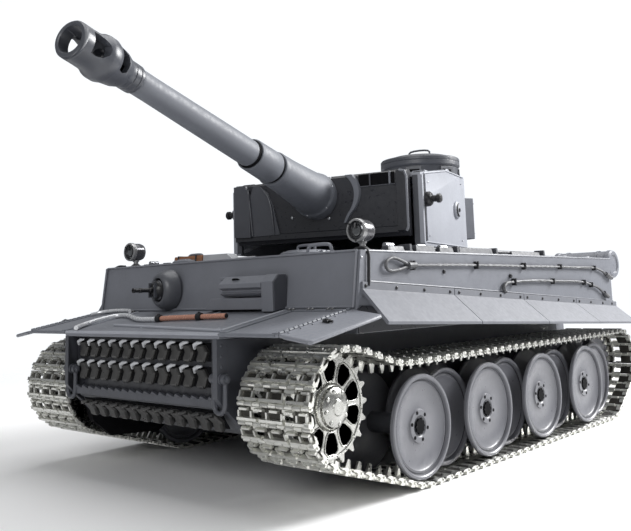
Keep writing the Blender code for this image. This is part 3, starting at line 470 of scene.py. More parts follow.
def link(piece, side, pitch):
    """One cast track link: x across the track, y along it and z outward."""
    half = pitch / 2
    # the near-black web: painted shade between the bars
    piece.use = link_gap_shade
    for x0, x1 in ((67.4, 75.3), (81.1, 93.6), (99.4, 108.9)):
        piece.slab(side, (x0, x1), (-2.7, 2.7), (-0.8, -0.1))
    piece.use = metal
    for y in (-2.3, 2.3):
        for x0, x1 in ((75.0, 81.4), (93.3, 99.7)):
            piece.slab(side, (x0, x1), (y - 0.6, y + 0.6), (-0.8, 0.0))
    for x0, x1 in ((67.2, 79.6), (80.6, 95.0), (96.0, 109.2)):
        piece.slab(side, (x0, x1), (-3.1, -1.3), (-0.4, 1.6), 0.3)
    for x0, x1 in ((68.6, 74.0), (77.4, 83.2), (86.8, 92.0), (95.4, 100.8), (103.6, 108.0)):
        piece.slab(side, (x0, x1), (1.2, 2.7), (-0.3, 1.45), 0.3)
    for x in (68.2, 75.8, 85.0, 93.8, 102.2, 107.6):
        piece.slab(side, (x - 0.7, x + 0.7), (-1.6, 1.5), (-0.3, 1.1), 0.2)
    for i in range(9):
        x0 = 67.2 + 4.7 * i
        y = half if i % 2 == 0 else -half
        piece.rod((side * x0, y, -0.2), (side * (x0 + 4.3), y, -0.2), 1.15, 8)
    piece.rod((side * 66.9, half, -0.2), (side * 109.9, half, -0.2), 0.6, 6)
    end_horn = [
        (-3.1, 1.6), (-3.3, -0.2), (-2.4, -1.5), (0.4, -1.3), (1.6, -0.4), (-0.6, -0.3), (-1.5, 0.3),
        (-1.2, 1.6)
    ]
    piece.side_prism(side, end_horn, 106.6, 109.3)
    for x in (85.2, 90.9):
        piece.side_prism(side, [(-2.2, -0.7), (-0.7, -5.6), (0.5, -5.6), (1.8, -0.7)], x - 0.6, x + 0.6)


def track(side, word):
    """The whole run of links, each one a copy of the same casting."""
    places, pitch = stations(track_line(), LINKS)
    single = Piece(metal)
    link(single, side, -pitch)
    casting = bpy.data.meshes.new("casting")
    single.bm.to_mesh(casting)
    single.bm.free()
    piece = Piece(metal)
    for y, z, angle in places:
        copy = casting.copy()
        copy.transform(Matrix.Translation((0, y, z)) @ Matrix.Rotation(angle + pi, 4, "X"))
        piece.bm.from_mesh(copy)
        bpy.data.meshes.remove(copy)
    piece.finishes = single.finishes
    piece.emit(f"{word}_track_links", replaces=[f"{word}_track"])


def road_wheel(side, word, station):
    """Two dished discs with double rims on one hub round a dark axle cap, with painted shade as a dark ring in the
    rim's groove and as six near-black bolt holes.
    """
    inner, outer = (69.5, 100.4) if station % 2 else (77.5, 92.6)
    y = FIRST_Y + PITCH_Y * (station - 1)
    at = axle(side, y, WHEEL_Z)
    piece = Piece(wheel_shaded_paint)
    dish = [
        (24.2, 3.7), (24.5, 4.0), (24.5, 5.4), (24.0, 6.0), (22.9, 6.0), (22.3, 5.5), (22.1, 4.2),
        (21.7, 3.8), (21.2, 4.4), (20.2, 4.6), (19.6, 4.1), (14.0, 3.2), (9.0, 2.8), (8.0, 3.1), (7.6, 3.7),
        (5.2, 3.8), (4.6, 3.3)
    ]
    back = [(4.6, -0.4), (8.0, -0.1), (20.0, 2.7), (22.8, 3.3)]
    piece.lathe([(r, outer + h) for r, h in (*dish, *back)], at, 56, closed=True)
    piece.lathe([(r, inner + 6.0 - h) for r, h in (*dish, *back)], at, 40, closed=True)
    piece.use = rubber
    piece.lathe([
        (5.5, 63.0), (5.5, inner + 3), (5.2, inner + 5), (5.2, outer + 1), (5.3, outer + 2.6),
        (5.0, outer + 3.2)
    ], at, 24)
    # a dark ring in the rim's groove: painted shade in the groove
    piece.lathe([
        (21.3, outer + 3.9), (21.7, outer + 4.1), (22.3, outer + 4.3), (22.2, outer + 3.6)
    ], at, 56, closed=True)
    piece.use = shade_and_black
    gear = [
        (r * cos(a), r * sin(a), h)
        for h in (outer + 2.0, outer + 4.1)
        for r, a in ((3.9 if k % 2 else 3.1, 2 * pi * k / 20) for k in range(20))
    ]
    piece.loft([[at @ Vector(p) for p in gear[:20]], [at @ Vector(p) for p in gear[20:]]])
    # six near-black flush discs: painted shade in the bolt holes round the hub
    for x, z in ring_of(6, 6.6, 0.3):
        piece.bolt(at @ Vector((x, z, outer + 3.5)), (side, 0, 0), 0.95, 0.5, 10)
    piece.emit(
        f"{word}_wheel_{station}_discs", HULL, f"{word}_wheel_{station}",
        [f"{word}_road_wheel_{station}"]
    )


def idler_wheel(side, word):
    """Two plain dished discs on one hub, at the rear end of the track."""
    inner, outer = 69.5, 84.9
    at = axle(side, IDLER[0], IDLER[1])
    piece = Piece(wheel_shaded_paint)
    dish = [
        (18.5, 0.3), (18.5, 5.4), (18.0, 6.0), (16.9, 6.0), (16.3, 4.8), (15.2, 4.3), (14.6, 3.6),
        (8.4, 2.8), (7.6, 3.6), (4.4, 3.7), (3.9, 3.2)
    ]
    back = [(3.9, -0.2), (15.6, 0.9), (17.0, 0.0), (18.0, 0.0)]
    piece.lathe([(r, outer + h) for r, h in (*dish, *back)], at, 48, closed=True)
    piece.lathe([(r, inner + 6.0 - h) for r, h in (*dish, *back)], at, 32, closed=True)
    piece.use = rubber
    piece.lathe([(4.0, 63.0), (4.0, outer + 3.0), (3.6, outer + 3.5)], at, 20)
    piece.use = shade_and_black
    for x, z in ring_of(8, 5.9):
        piece.bolt(at @ Vector((x, z, outer + 3.6)), (side, 0, 0), 0.6, 0.6)
    piece.bolt(at @ Vector((0, 0, outer + 3.2)), (side, 0, 0), 2.4, 1.2, 12)
    piece.emit(f"{word}_idler_discs", HULL, f"{word}_idler_wheel", [f"{word}_idler"])


def flat_solid(loops, low, high, at):
    """A mesh of an outline with holes, given thickness along the frame's z."""
    curve = bpy.data.curves.new("loops", "CURVE")
    curve.dimensions = "2D"
    curve.fill_mode = "BOTH"
    curve.extrude = (high - low) / 2
    for loop in loops:
        spline = curve.splines.new("POLY")
        spline.points.add(len(loop) - 1)
        for point, (a, b) in zip(spline.points, loop):
            point.co = (a, b, 0, 1)
        spline.use_cyclic_u = True
    obj = bpy.data.objects.new("loops", curve)
    bpy.context.scene.collection.objects.link(obj)
    bpy.context.view_layer.update()
    mesh = bpy.data.meshes.new_from_object(obj.evaluated_get(bpy.context.evaluated_depsgraph_get()))
    bpy.data.objects.remove(obj)
    bpy.data.curves.remove(curve)
    mesh.transform(at @ Matrix.Translation((0, 0, (low + high) / 2)))
    return mesh


def sprocket(side, word):
    """Two toothed rings with arched windows, on a domed hub with a circle of bolts."""
    at = axle(side, SPROCKET[0], SPROCKET[1])
    piece = Piece(silver)
    outline = []
    for i in range(20):
        for share, radius in (
            (-0.30, 22.2), (-0.22, 22.9), (-0.07, 25.5), (0.07, 25.5), (0.22, 22.9), (0.30, 22.2)
        ):
            a = 2 * pi * (i + share) / 20 + pi / 2
            outline.append((radius * cos(a), radius * sin(a)))
    windows = []
    for i in range(10):
        middle = 36 * i + 18 + 90
        half = [(10.8, 9.424), (12.4, 13.68), (16.6, 15.2), (19.0, 13.072), (20.3, 6.384)]
        loop = [(r, middle - spread) for r, spread in half]
        loop += [(r, middle + spread) for r, spread in half[::-1]]
        windows.append([(r * cos(radians(a)), r * sin(radians(a))) for r, a in loop])
    for low, high in ((94.7, 98.0), (76.7, 80.0)):
        piece.bm.from_mesh(flat_solid([outline, *windows], low, high, at))
    for w in windows:
        rim = [at @ Vector((a, b, 98.1)) for a, b in w]
        piece.tube(rim, 0.42, 6, looped=True)
    piece.lathe([(22.3, 97.8), (22.1, 98.5), (20.9, 98.5), (20.7, 97.8)], at, 60)
    piece.lathe([
        (8.0, 66.0), (8.0, 92.0), (10.2, 94.6), (10.2, 98.6), (9.7, 99.4), (8.9, 99.9), (8.4, 101.2),
        (6.2, 102.3), (3.6, 102.6), (3.2, 103.2), (1.2, 103.2)
    ], at, 48)
    piece.lathe([(3.0, 56.0), (3.0, 67.0)], at, 16)
    for x, z in ring_of(8, 6.9, 0.2):
        piece.bolt(at @ Vector((x, z, 101.4)), (side, 0, 0), 1.1, 1.0, 10)
    piece.use = shade_and_black
    for x, z in ring_of(20, 21.5, pi / 20):
        piece.bolt(at @ Vector((x, z, 98.45)), (side, 0, 0), 0.4, 0.12, 8, dome=False)
    piece.emit(
        f"{word}_sprocket_cast", HULL, f"{word}_drive", [f"{word}_sprocket"], bevel=0.22,
        steps=2, smooth=40
    )


# ------------------------------------------------------------------ hull
LIP_Y, LIP_Z = -189.1, 76.1
PLATE_Y, PLATE_Z = -140.8, 84.8
glacis_angle = atan2(PLATE_Z - LIP_Z, PLATE_Y - LIP_Y)
GLACIS = Matrix.Translation((0, LIP_Y, LIP_Z)) @ Matrix.Rotation(glacis_angle, 4, "X")
# Places in the hull frame, with x on the left side.
LUG = (59.0, -186.5, 56.3)
LAMP = (91.0, -122.4, 121.5)
CREW_HATCH = (45.0, -112.0, 111.8)
BOW_GUN = Vector((-33.4, -147.4, 96.6))
# The side skirt: (y, z of the fold, z of the lower edge) at each end, and how far out they are.
SKIRT_FRONT = (-137.7, 93.5, 79.1)
SKIRT_REAR = (166.0, 76.2, 65.0)
SKIRT_FOLD_X, SKIRT_EDGE_X = 101.9, 115.8


def nose():
    """Spare links racked on the nose, with the bolts and edge plates round them."""
    softened("lower_hull", dark, 0.4)
    softened("upper_hull", paint, 0.4)
    piece = Piece(dark_link_metal)
    # a thin near-black sheet behind the upper spare links: painted shade in the gaps between them
    piece.use = mantlet_and_shade_dark
    piece.box((-57.6, -183.35, 47.2), (57.6, -183.1, 73.4), 0.0)
    piece.use = dark_link_metal
    for z0, height in ((63.0, 8.8), (51.6, 9.6)):
        for i in range(11):
            # the upper two ranks get pale horns: a painted highlight for the glints on their tips
            chevron(piece, 45.4 - 9.5 * i, -183.6, z0, height, pale)
    piece.emit("spare_links_upper", replaces=["spare_tracks_upper"], bevel=0.15)
    piece = Piece(dark_link_metal)
    piece.at = Matrix.Translation((1.5, -181.0, 38.0)) @ Matrix.Rotation(radians(34), 4, "X")
    for i in range(12):
        chevron(piece, 50.5 - 8.9 * i, -0.6, -5.0, 10.0, dark_link_metal)
    piece.emit("spare_links_lower", replaces=["spare_tracks_lower"], bevel=0.15)
    piece = Piece(dark)
    piece.box((-57.2, -186.6, 43.6), (57.2, -184.7, 47.0))
    for i in range(19):
        x = 54.0 - 5.9 * i
        piece.prism([(x - 2.7, 46.8), (x + 2.9, 46.8), (x - 1.9, 48.4)], -186.9, -185.0, "Y")
    piece.emit("rack_bar_teeth", bevel=0.2)
    piece = Piece(dark)
    for side in (1, -1):
        outline = [
            (LIP_Y - 0.4, 73.6), (LIP_Y - 0.4, 48.2), (LIP_Y + 3.6, 43.8), (-172.4, 31.4), (-170.6, 33.4),
            (-182, 46), (-184, 73.6)
        ]
        piece.side_prism(side, outline, 58.0, 60.8)
        piece.rod((side * 57.0, *LUG[1:]), (side * 61.6, *LUG[1:]), 2.7, 16)
        for z in (61.5, 66.0, 70.5):
            piece.bolt((side * 60.7, -186.8, z), (side, 0, 0), 0.7, 0.5)
    piece.emit("nose_side_plates", bevel=0.3)


def chevron(piece, x, y, z, height, tip):
    """A spare link standing side-on: a solid angled block on a near-black pad of painted shade, with a horn at its
    top.
    """
    top = z + height
    middle = z + height * 0.5
    # the pad: painted shade behind and between the links
    piece.use = shade_and_black
    piece.box((x - 4.7, y - 0.1, z + 0.2), (x + 4.8, y + 0.5, top - 0.4))
    piece.use = dark_link_metal
    outline = [
        (x - 3.9, top - 1.2), (x + 1.7, top - 1.2), (x + 4.3, middle), (x + 2.2, z + 0.2),
        (x - 3.4, z + 0.2), (x - 1.3, middle)
    ]
    centre = (x + 0.2, middle)
    inner = [(centre[0] + (a - centre[0]) * 0.8, centre[1] + (b - centre[1]) * 0.84) for a, b in outline]
    piece.loft([
        [(a, y, b) for a, b in outline], [(a, y - 1.5, b) for a, b in outline],
        [(a, y - 2.4, b) for a, b in inner]
    ])
    piece.rod((x - 2.2, y - 1.2, z + 0.9), (x + 2.0, y - 1.2, z + 0.9), 1.3, 8)
    # the horn in the finish given; the pale one on the upper ranks is a painted highlight
    piece.use = tip
    horn = [
        (x - 4.4, y - 1.6, top - 3.0), (x - 3.4, y - 2.6, top - 1.2), (x - 1.0, y - 2.9, top - 0.3),
        (x + 1.6, y - 2.4, top)
    ]
    piece.tube(horn, 1.0, 8, radii=(0.7, 1.05, 0.9, 0.45))


def shackles():
    """The two tow shackles, each a bow on its pin through a nose lug."""
    for side, word in SIDES:
        x, y, z = side * LUG[0], LUG[1], LUG[2]
        piece = Piece(dark)
        bow = [
            (x + 3.6 * cos(radians(a)), y, z - 11.0 + 3.8 * sin(radians(a)))
            for a in range(180, 361, 20)
        ]
        points = [(x - 3.6, y, z), (x - 3.7, y, z - 4), *bow, (x + 3.7, y, z - 4), (x + 3.6, y, z)]
        piece.tube(points, 1.15, 12)
        for s in (-1, 1):
            piece.collar([
                (0.9, 1.3), (2.2, 1.1), (2.4, 0.0), (2.2, -1.1), (0.9, -1.3)
            ], (x + s * 3.6, y, z), 16)
        piece.rod((x - 5.3, y, z), (x + 5.3, y, z), 0.95, 12)
        piece.bolt((x - 5.2, y, z), (-1, 0, 0), 1.5, 0.9)
        piece.bolt((x + 5.2, y, z), (1, 0, 0), 1.5, 0.9)
        piece.emit(
            f"{word}_shackle_bow", HULL, f"{word}_shackle_bow", [f"{word}_shackle"]
        )


def fenders():
    """Fender plates with rolled edges, the piano hinge of the flap, its latch and the strip bolts."""
    for side, word in SIDES:
        softened(f"{word}_front_fender", paint, 0.25)
        softened(f"{word}_fender_flap", paint, 0.25)
        length = 48.0
        hinge = Piece(gun_paint)
        hinge.at = GLACIS
        for i in range(16):
            y = 0.6 + i * 2.95
            hinge.rod((side * 98.0, y, 0.2), (side * 98.0, y + 2.3, 0.2), 0.75, 8)
        hinge.use = lamp_steel
        for i in range(8):
            hinge.bolt((side * 94.9, 2.6 + i * 6.0, 0.0), (0, 0, 1), 0.55, 0.45)
        for x in (62.6, 65.2, 74.8, 77.4, 87.0, 89.6):
            hinge.bolt((side * x, length - 2.8, 0.5), (0, 0, 1), 0.95, 1.0)
        hinge.use = gun_paint
        hinge.slab(side, (93.8, 97.2), (0.5, length - 0.8), (0.0, 0.35))
        hinge.tube([(side * 62.2, 0.2, -0.7), (side * 96.0, 0.2, -0.7)], 0.9, 8)
        hinge.slab(side, (62.0, 66.0), (0.5, length - 1.5), (0.0, 0.5))
        hinge.slab(side, (62.0, 97.4), (length - 4.4, length - 1.2), (0.0, 0.5))
        hinge.emit(f"{word}_fender_hinge", bevel=0.12)
        flap = Piece(paint)
        flap.at = GLACIS
        for i in range(6):
            flap.bolt((side * 100.4, 3.6 + i * 7.6, -0.25), (side * 0.14, 0, 1), 0.55, 0.45)
        flap.tube([
            (side * 101.0, 0.3, -1.25), (side * 114.2, 0.3, -3.2), (side * 114.6, 1.2, -3.3),
            (side * 114.6, 47.2, -3.3)
        ], 0.95, 8)
        flap.use = black
        flap.slab(side, (101.4, 104.6), (23.4, 26.8), (-1.4, 0.45), 0.3)
        flap.rod((side * 101.2, 25.1, 0.2), (side * 106.2, 25.1, -0.4), 0.6, 8)
        flap.bolt((side * 103.0, 25.1, 0.4), (0, 0, 1), 0.9, 0.5)
        flap.emit(f"{word}_flap_trim", HULL, f"{word}_flap", bevel=0.12)


def glacis_trim():
    """The bent silver rod and the copper rod with its clamps, and the raised line along the lip, whose lighter
    paint is a painted highlight.
    """
    rods = Piece(bright_rod)
    line = [
        (-53, 1.4), (-57, 8), (-59.6, 18), (-59.4, 27), (-56.0, 31.8), (-49, 31.4), (-40, 28.0),
        (-31, 23.8), (-22, 21.6), (-8, 22.0)
    ]
    smooth = curve_through([(x, y, 1.5) for x, y in line], 5)
    rods.at = GLACIS
    rods.tube(smooth, 1.25, 10)
    rods.tube(curve_through(
        [(-92, 36.0, 1.3), (-89, 41.0, 1.5), (-80, 45.0, 1.6), (-66, 44.6, 1.6), (-60, 41.0, 1.6)], 5
    ), 1.0, 8)
    rods.use = copper
    rods.tube([(-8.6, 22.4, 1.6), (1, 24.4, 1.6), (18.7, 26.5, 1.6), (36.4, 28.2, 1.6)], 1.35, 12)
    rods.use = black
    rods.rod((36.3, 28.2, 1.6), (36.8, 28.2, 1.6), 1.1, 12)
    for x, y in ((-8.6, 22.4), (18.7, 26.5)):
        rods.collar([(1.3, 1.7), (2.0, 1.5), (2.0, -1.5), (1.3, -1.7)], (x, y, 1.6), 14)
        rods.bolt((x, y, 3.3), (0, 0, 1), 0.8, 0.9)
    rods.emit("glacis_rods")
    # the lip line, strips and bolts in the lighter paint: a painted highlight along the fold of the lip
    trim = Piece(lit_grey_paint)
    trim.at = GLACIS
    trim.tube([(-61.2, 0.4, -0.5), (61.2, 0.4, -0.5)], 0.8, 8)
    trim.tube([(-34, 12.5, 0.4), (60.4, 3.2, 0.4)], 0.85, 8)
    for x in (-38, -6, 33, 52):
        trim.bolt((x, 9.0, 0.0), (0, 0, 1), 0.7, 0.35)
    trim.box((14, 26, 0.0), (15.2, 44, 0.5))
    for side in (1, -1):
        trim.box((side * 58.8 - 1.2, 4.0, 0.0), (side * 58.8 + 1.2, 46.0, 0.6))
    trim.emit("glacis_trim", bevel=0.12)


def curve_through(points, steps):
    """A smooth line through the points."""
    points = [Vector(p) for p in points]
    ends = [2 * points[0] - points[1], *points, 2 * points[-1] - points[-2]]
    made = []
    for i in range(1, len(ends) - 2):
        p0, p1, p2, p3 = ends[i - 1 : i + 3]
        for k in range(steps):
            t = k / steps
            bend = 2 * p0 - 5 * p1 + 4 * p2 - p3
            swing = 3 * p1 - p0 - 3 * p2 + p3
            made.append(0.5 * (2 * p1 + (p2 - p0) * t + bend * t * t + swing * t**3))
    return [*made, points[-1]]


def front_plate():
    """The driver's slit, the bow gun's dome and the edges of the front plate."""
    visor = Piece(paint)
    y = -140.2
    visor.prism([(4.5, 85.2), (10.2, 91.0), (48.6, 91.0), (48.6, 85.2)], -148.3, y, "Y")
    nose_line = [
        (-146.2, 91.4), (-148.6, 92.6), (-149.8, 93.4), (-147.9, 94.2), (-147.9, 95.0), (-150.4, 96.0),
        (-150.3, 98.2), (-145.3, 101.9)
    ]
    visor.prism([(y, 91.4), *nose_line, (y, 101.9)], 18.3, 48.7, "X")
    visor.box((14.4, -145.8, 100.2), (18.6, y, 101.8))
    visor.prism([(y, 85.2), (-149.4, 84.1), (-149.7, 98.6), (-145.8, 102.2), (y, 102.2)], 48.4, 56.2, "X")
    # the cheek's outer face in dark paint: painted shade on this one side of the visor
    visor.use = dark
    visor.prism([(y, 85.2), (-149.0, 84.3), (-149.2, 98.5), (-145.4, 102.0), (y, 102.0)], 56.1, 56.9, "X")
    # the slit as a flat near-black oval: painted shade in the opening
    visor.use = shade_and_black
    slot_turn = Matrix.Rotation(radians(-36.5), 4, "X")
    visor.at = Matrix.Translation((28.8, -147.7, 100.2)) @ slot_turn
    visor.prism([
        (-2.9, 0.0), (-2.1, 1.1), (0.0, 1.4), (2.1, 1.1), (2.9, 0.0), (2.1, -1.1), (0.0, -1.4),
        (-2.1, -1.1)
    ], -0.4, 0.12, "Z")
    visor.at = Matrix.Identity(4)
    visor.emit("driver_slit", replaces=["driver_visor"], bevel=0.45)

    x, z = BOW_GUN.x, BOW_GUN.z
    at = Matrix.Translation((x, -141.1, z)) @ Matrix.Rotation(pi / 2, 4, "X")
    dome = Piece(cupola_paint)
    profile = [
        (6.4, 7.6), (6.9, 8.4), (7.6, 8.4), (8.8, 7.6), (10.0, 5.8), (11.0, 3.2), (11.4, 1.2), (11.6, 0.0),
        (7.6, 0.0), (7.6, 4.0)
    ]
    rings = []
    for r, h in profile:
        squeeze = 0.78 if h > 7 and r < 8 else (0.84 if h > 7 else 0.9)
        rings.append([
            at @ Vector((r * squeeze * cos(a), r * sin(a), h))
            for a in (2 * pi * k / 48 for k in range(48))
        ])
    dome.loft(rings, looped=True, caps=False)
    frame_line = [(x + 0.62 * a, -149.9, z + 0.72 * b) for a, b in rounded(5.4, 6.6, 1.6, 3)]
    dome.tube(frame_line, 0.5, 6, looped=True)
    dome.emit("bow_gun_dome", replaces=["mg_ball_housing"], smooth=50)
    ball = Piece(black)
    rings = []
    for i in range(1, 16):
        a = pi * i / 16
        rings.append([
            BOW_GUN + Vector((5.9 * sin(a) * cos(b), 5.9 * sin(a) * sin(b), 5.9 * cos(a)))
            for b in (2 * pi * k / 28 for k in range(28))
        ])
    ball.loft(rings)
    ball.use = dark
    for dx in (-2.4, 2.4):
        ball.box((x + dx - 0.5, -153.6, z - 4.0), (x + dx + 0.5, -151.8, z + 4.0), 0.1)
    ball.emit("bow_gun_ball", HULL, "bow_ball", ["bow_mg_ball"], smooth=60)
    gun = Piece(black)
    at = Matrix.Translation(BOW_GUN) @ Matrix.Rotation(pi / 2, 4, "X")
    gun.lathe([
        (0.9, 4.6), (1.5, 5.0), (1.5, 7.6), (1.15, 8.0), (1.15, 12.6), (1.35, 12.8), (1.35, 14.2),
        (1.1, 14.4), (1.1, 17.2), (1.35, 17.5), (1.35, 18.3), (0.7, 18.4), (0.6, 16.0)
    ], at, 16)
    gun.use = steel
    gun.bolt(at @ Vector((1.9, 2.2, 5.4)), (0, -1, 0), 0.9, 0.6, 10)
    gun.emit("bow_gun_barrel", HULL, "bow_gun", ["bow_mg_barrel"])

    trim = Piece(paint)
    for s in (1, -1):
        trim.tube([(s * 99.2, -141.6, 85.4), (s * 99.4, -137.9, 111.2)], 0.7, 8)
        edge = [(-140.6, 84.9), (-136.9, 111.4), (-133.2, 111.4), (-133.9, 92.4), (-137.0, 90.2)]
        trim.side_prism(s, edge, 100.2, 101.0)
        trim.use = black
        line = [
            (s * 92.0, -129.5, 112.4), (s * 97.5, -130.6, 112.6), (s * 101.2, -131.6, 110.4),
            (s * 101.7, -132.2, 104.0), (s * 101.7, -132.8, 95.0)
        ]
        trim.tube(curve_through(line, 4), 0.75, 8)
        trim.use = steel
        for z in (95.2, 108.6):
            trim.bolt((s * 101.0, -136.4, z - 0.6), (s, 0, 0), 0.6, 0.4)
        trim.use = paint
    trim.tube([(-99.4, -137.4, 111.3), (99.4, -137.4, 111.3)], 0.55, 6)
    trim.tube([(-99.0, -141.3, 85.6), (99.0, -141.3, 85.6)], 0.6, 6)
    trim.emit("front_plate_trim")


def headlights():
    """Two lamps on stalks, with a lens, a rim and clamp screws."""
    for side, word in SIDES:
        x, y, z = side * LAMP[0], LAMP[1], LAMP[2]
        at = Matrix.Translation((x, y, z)) @ Matrix.Rotation(pi / 2, 4, "X")
        lamp = Piece(lamp_steel)
        lamp.lathe([
            (4.3, 3.4), (4.6, 5.2), (5.5, 5.3), (5.8, 4.7), (5.8, 3.0), (5.3, 2.6), (5.4, -2.2),
            (4.8, -4.0), (3.2, -5.2), (1.0, -5.6)
        ], at, 32)
        lamp.use = lens
        lamp.lathe([(4.4, 3.6), (3.6, 4.3), (2.0, 4.7), (0.4, 4.8)], at, 24)
        lamp.use = black
        for a in (radians(d) for d in (40, 140, 270)):
            lamp.bolt(at @ Vector((4.9 * cos(a), 4.9 * sin(a), 5.1)), (0, -1, 0), 0.55, 0.5)
        lamp.rod((x, y - 5.4, z + 1.0), (x, y - 5.0, z + 3.4), 0.8, 8)
        lamp.lathe([(3.3, 4.55), (3.0, 5.0), (2.6, 4.6)], at, 20, closed=True)
        lamp.use = lamp_steel
        lamp.rod((x, y, 112.0), (x, y, z - 4.6), 1.5, 12)
        lamp.disc([(3.6, 0.3), (3.6, 1.1), (2.3, 2.1), (1.5, 2.7)], (x, y, HULL_TOP), 16)
        lamp.rod((x, y, 115.4), (x, y, 116.4), 2.1, 12)
        lamp.emit(f"{word}_lamp", replaces=[f"{word}_headlight"])


def skirt_point(y, share):
    """A point on the side skirt: share 0 at its fold and 1 at its lower edge."""
    t = (y - SKIRT_FRONT[0]) / (SKIRT_REAR[0] - SKIRT_FRONT[0])
    top = SKIRT_FRONT[1] + (SKIRT_REAR[1] - SKIRT_FRONT[1]) * t
    low = SKIRT_FRONT[2] + (SKIRT_REAR[2] - SKIRT_FRONT[2]) * t
    x = SKIRT_FOLD_X + (SKIRT_EDGE_X - SKIRT_FOLD_X) * share
    return Vector((x, y, top + (low - top) * share))


def skirts():
    """Four bolted plates a side, each with its own edges, over the CAD's folded plate."""
    seams = [-137.7, -59.0, 19.5, 95.0, 166.0]
    bolts = [-135.2, -111.3, -87.5, -63.5, -54.6, -32, -9.5, 14.6, 23.6, 44, 67, 90.5, 99.5, 119, 140, 157]
    for side, word in SIDES:
        flip = Matrix.Diagonal((side, 1, 1, 1))
        piece = Piece(skirt_shaded_paint)
        for a, b in zip(seams, seams[1:]):
            a, b = a + 0.25, b - 0.25
            lean = 0.0 if a < -137 else 3.2
            rings = []
            for y, shift in ((a, lean), (b, 3.2 if b < 160 else 0.0)):
                fold = skirt_point(y, 0.0)
                low = skirt_point(y + shift, 1.0)
                rise = Vector((0, 0, 3.4))
                rings.append([
                    fold + rise + Vector((-1.3, 0, 0)), fold + rise, fold, low,
                    low + Vector((-0.2, 0, -1.5)), low + Vector((-1.3, 0, -1.2)),
                    fold + Vector((-1.3, 0, -1.0))
                ])
            rings = [[flip @ p for p in r] for r in rings]
            piece.loft(rings)
        # a thin near-black sheet under the front of the skirt: painted shade on the hull side beneath it
        piece.use = mantlet_and_shade_dark
        piece.side_prism(side, [
            (-140.4, 73.8), (-40, 73.8), (-40, 79), (-137, 86), (-140.4, 84)
        ], 100.45, 101.0)
        piece.use = black
        for y in bolts:
            p = flip @ (skirt_point(y, 0.0) + Vector((-0.1, 0, 1.6)))
            piece.bolt(p, (side, 0, 0), 0.95, 0.7)
        piece.emit(f"{word}_skirt_panels", replaces=[f"{word}_side_skirt"], bevel=0.22)


def side_fittings():
    """Tow cables with spliced eyes and clamps along the hull's sides, and the weld along its roof."""
    for s, word in SIDES:
        x = s * SKIRT_FOLD_X
        rope = Piece(cable)
        runs = [
            [
                (-101, 104.4), (-60, 104.9), (-20, 105.0), (20, 104.8), (60, 104.7), (100, 104.5),
                (129, 104.2), (140, 102.6), (150, 99.8), (156, 99.4)
            ],
            [
                (2, 95.2), (8.5, 95.4), (35, 95.9), (61, 95.4), (90, 95.0), (110, 94.2), (122, 92.4),
                (134, 90.0), (144, 85.9)
            ]
        ]
        for run in runs:
            line = curve_through([(x, y, z) for y, z in run], 6)
            rope.use = cable
            for strand in range(3):
                twisted = []
                gone = 0.0
                for i, p in enumerate(line):
                    if i:
                        gone += (line[i] - line[i - 1]).length
                    a = gone / 5.0 * 2 * pi + strand * 2 * pi / 3
                    twisted.append(p + Vector((0.36 * cos(a), 0, 0.36 * sin(a))))
                fine = []
                for a, b in zip(twisted, twisted[1:]):
                    fine += [a.lerp(b, t / 2) for t in range(2)]
                rope.tube([*fine, twisted[-1]], 0.56, 6)
        eye = curve_through([
            (x, -99, 104.4), (x, -106, 106.6), (x, -113, 108.0), (x, -118, 106.4), (x, -119, 103.6),
            (x, -116, 101.8), (x, -109, 102.2), (x, -99, 104.2)
        ], 5)
        rope.tube(eye, 0.8, 8)
        rope.tube([(x, -101, 104.3), (x, -95, 104.5)], 1.9, 10)
        hook = curve_through([
            (x, 2, 95.2), (x, -2, 94.6), (x, -4.6, 92.6), (x, -4.8, 90.6), (x, -3.0, 89.8)
        ], 5)
        rope.tube(hook, 1.1, 8)
        rope.tube([(x, 144, 86.6), (x, 148, 84.2), (x, 151, 83.6)], 1.5, 8)
        rope.tube([(x, 150, 100.0), (x, 157, 97.4), (x, 160, 97.0)], 1.5, 8)
        rope.use = black
        for y, z, size in (
            (-96.5, 104.5, 2.9), (-34.5, 105.0, 2.6), (22, 104.8, 2.6), (73, 104.7, 2.1), (129, 104.1, 2.1),
            (8.5, 95.4, 2.6), (61, 95.4, 2.2), (110, 94.2, 2.2), (122, 92.4, 2.2)
        ):
            rope.slab(s, (100.4, 103.1), (y - 0.55, y + 0.55), (z - size * 0.8, z + size * 0.8))
            rope.bolt((s * 102.0, y - 1.0, z + size * 0.6), (s, 0, 0), 0.6, 0.5)
        rope.bolt((s * 100.4, -66.5, 101.4), (s, 0, 0), 1.1, 1.0)
        rope.bolt((s * 100.4, 5.8, 98.9), (s, 0, 0), 1.3, 1.4)
        rope.use = paint
        rope.tube([(s * 100.3, -133, 111.2), (s * 100.3, 163, 111.2)], 0.6, 6)
        rope.tube([(s * 100.4, -130, 97.0), (s * 100.4, -60, 93.2), (s * 100.4, 163, 80.2)], 0.45, 6)
        rope.emit(f"{word}_tow_cables", bevel=0.1)


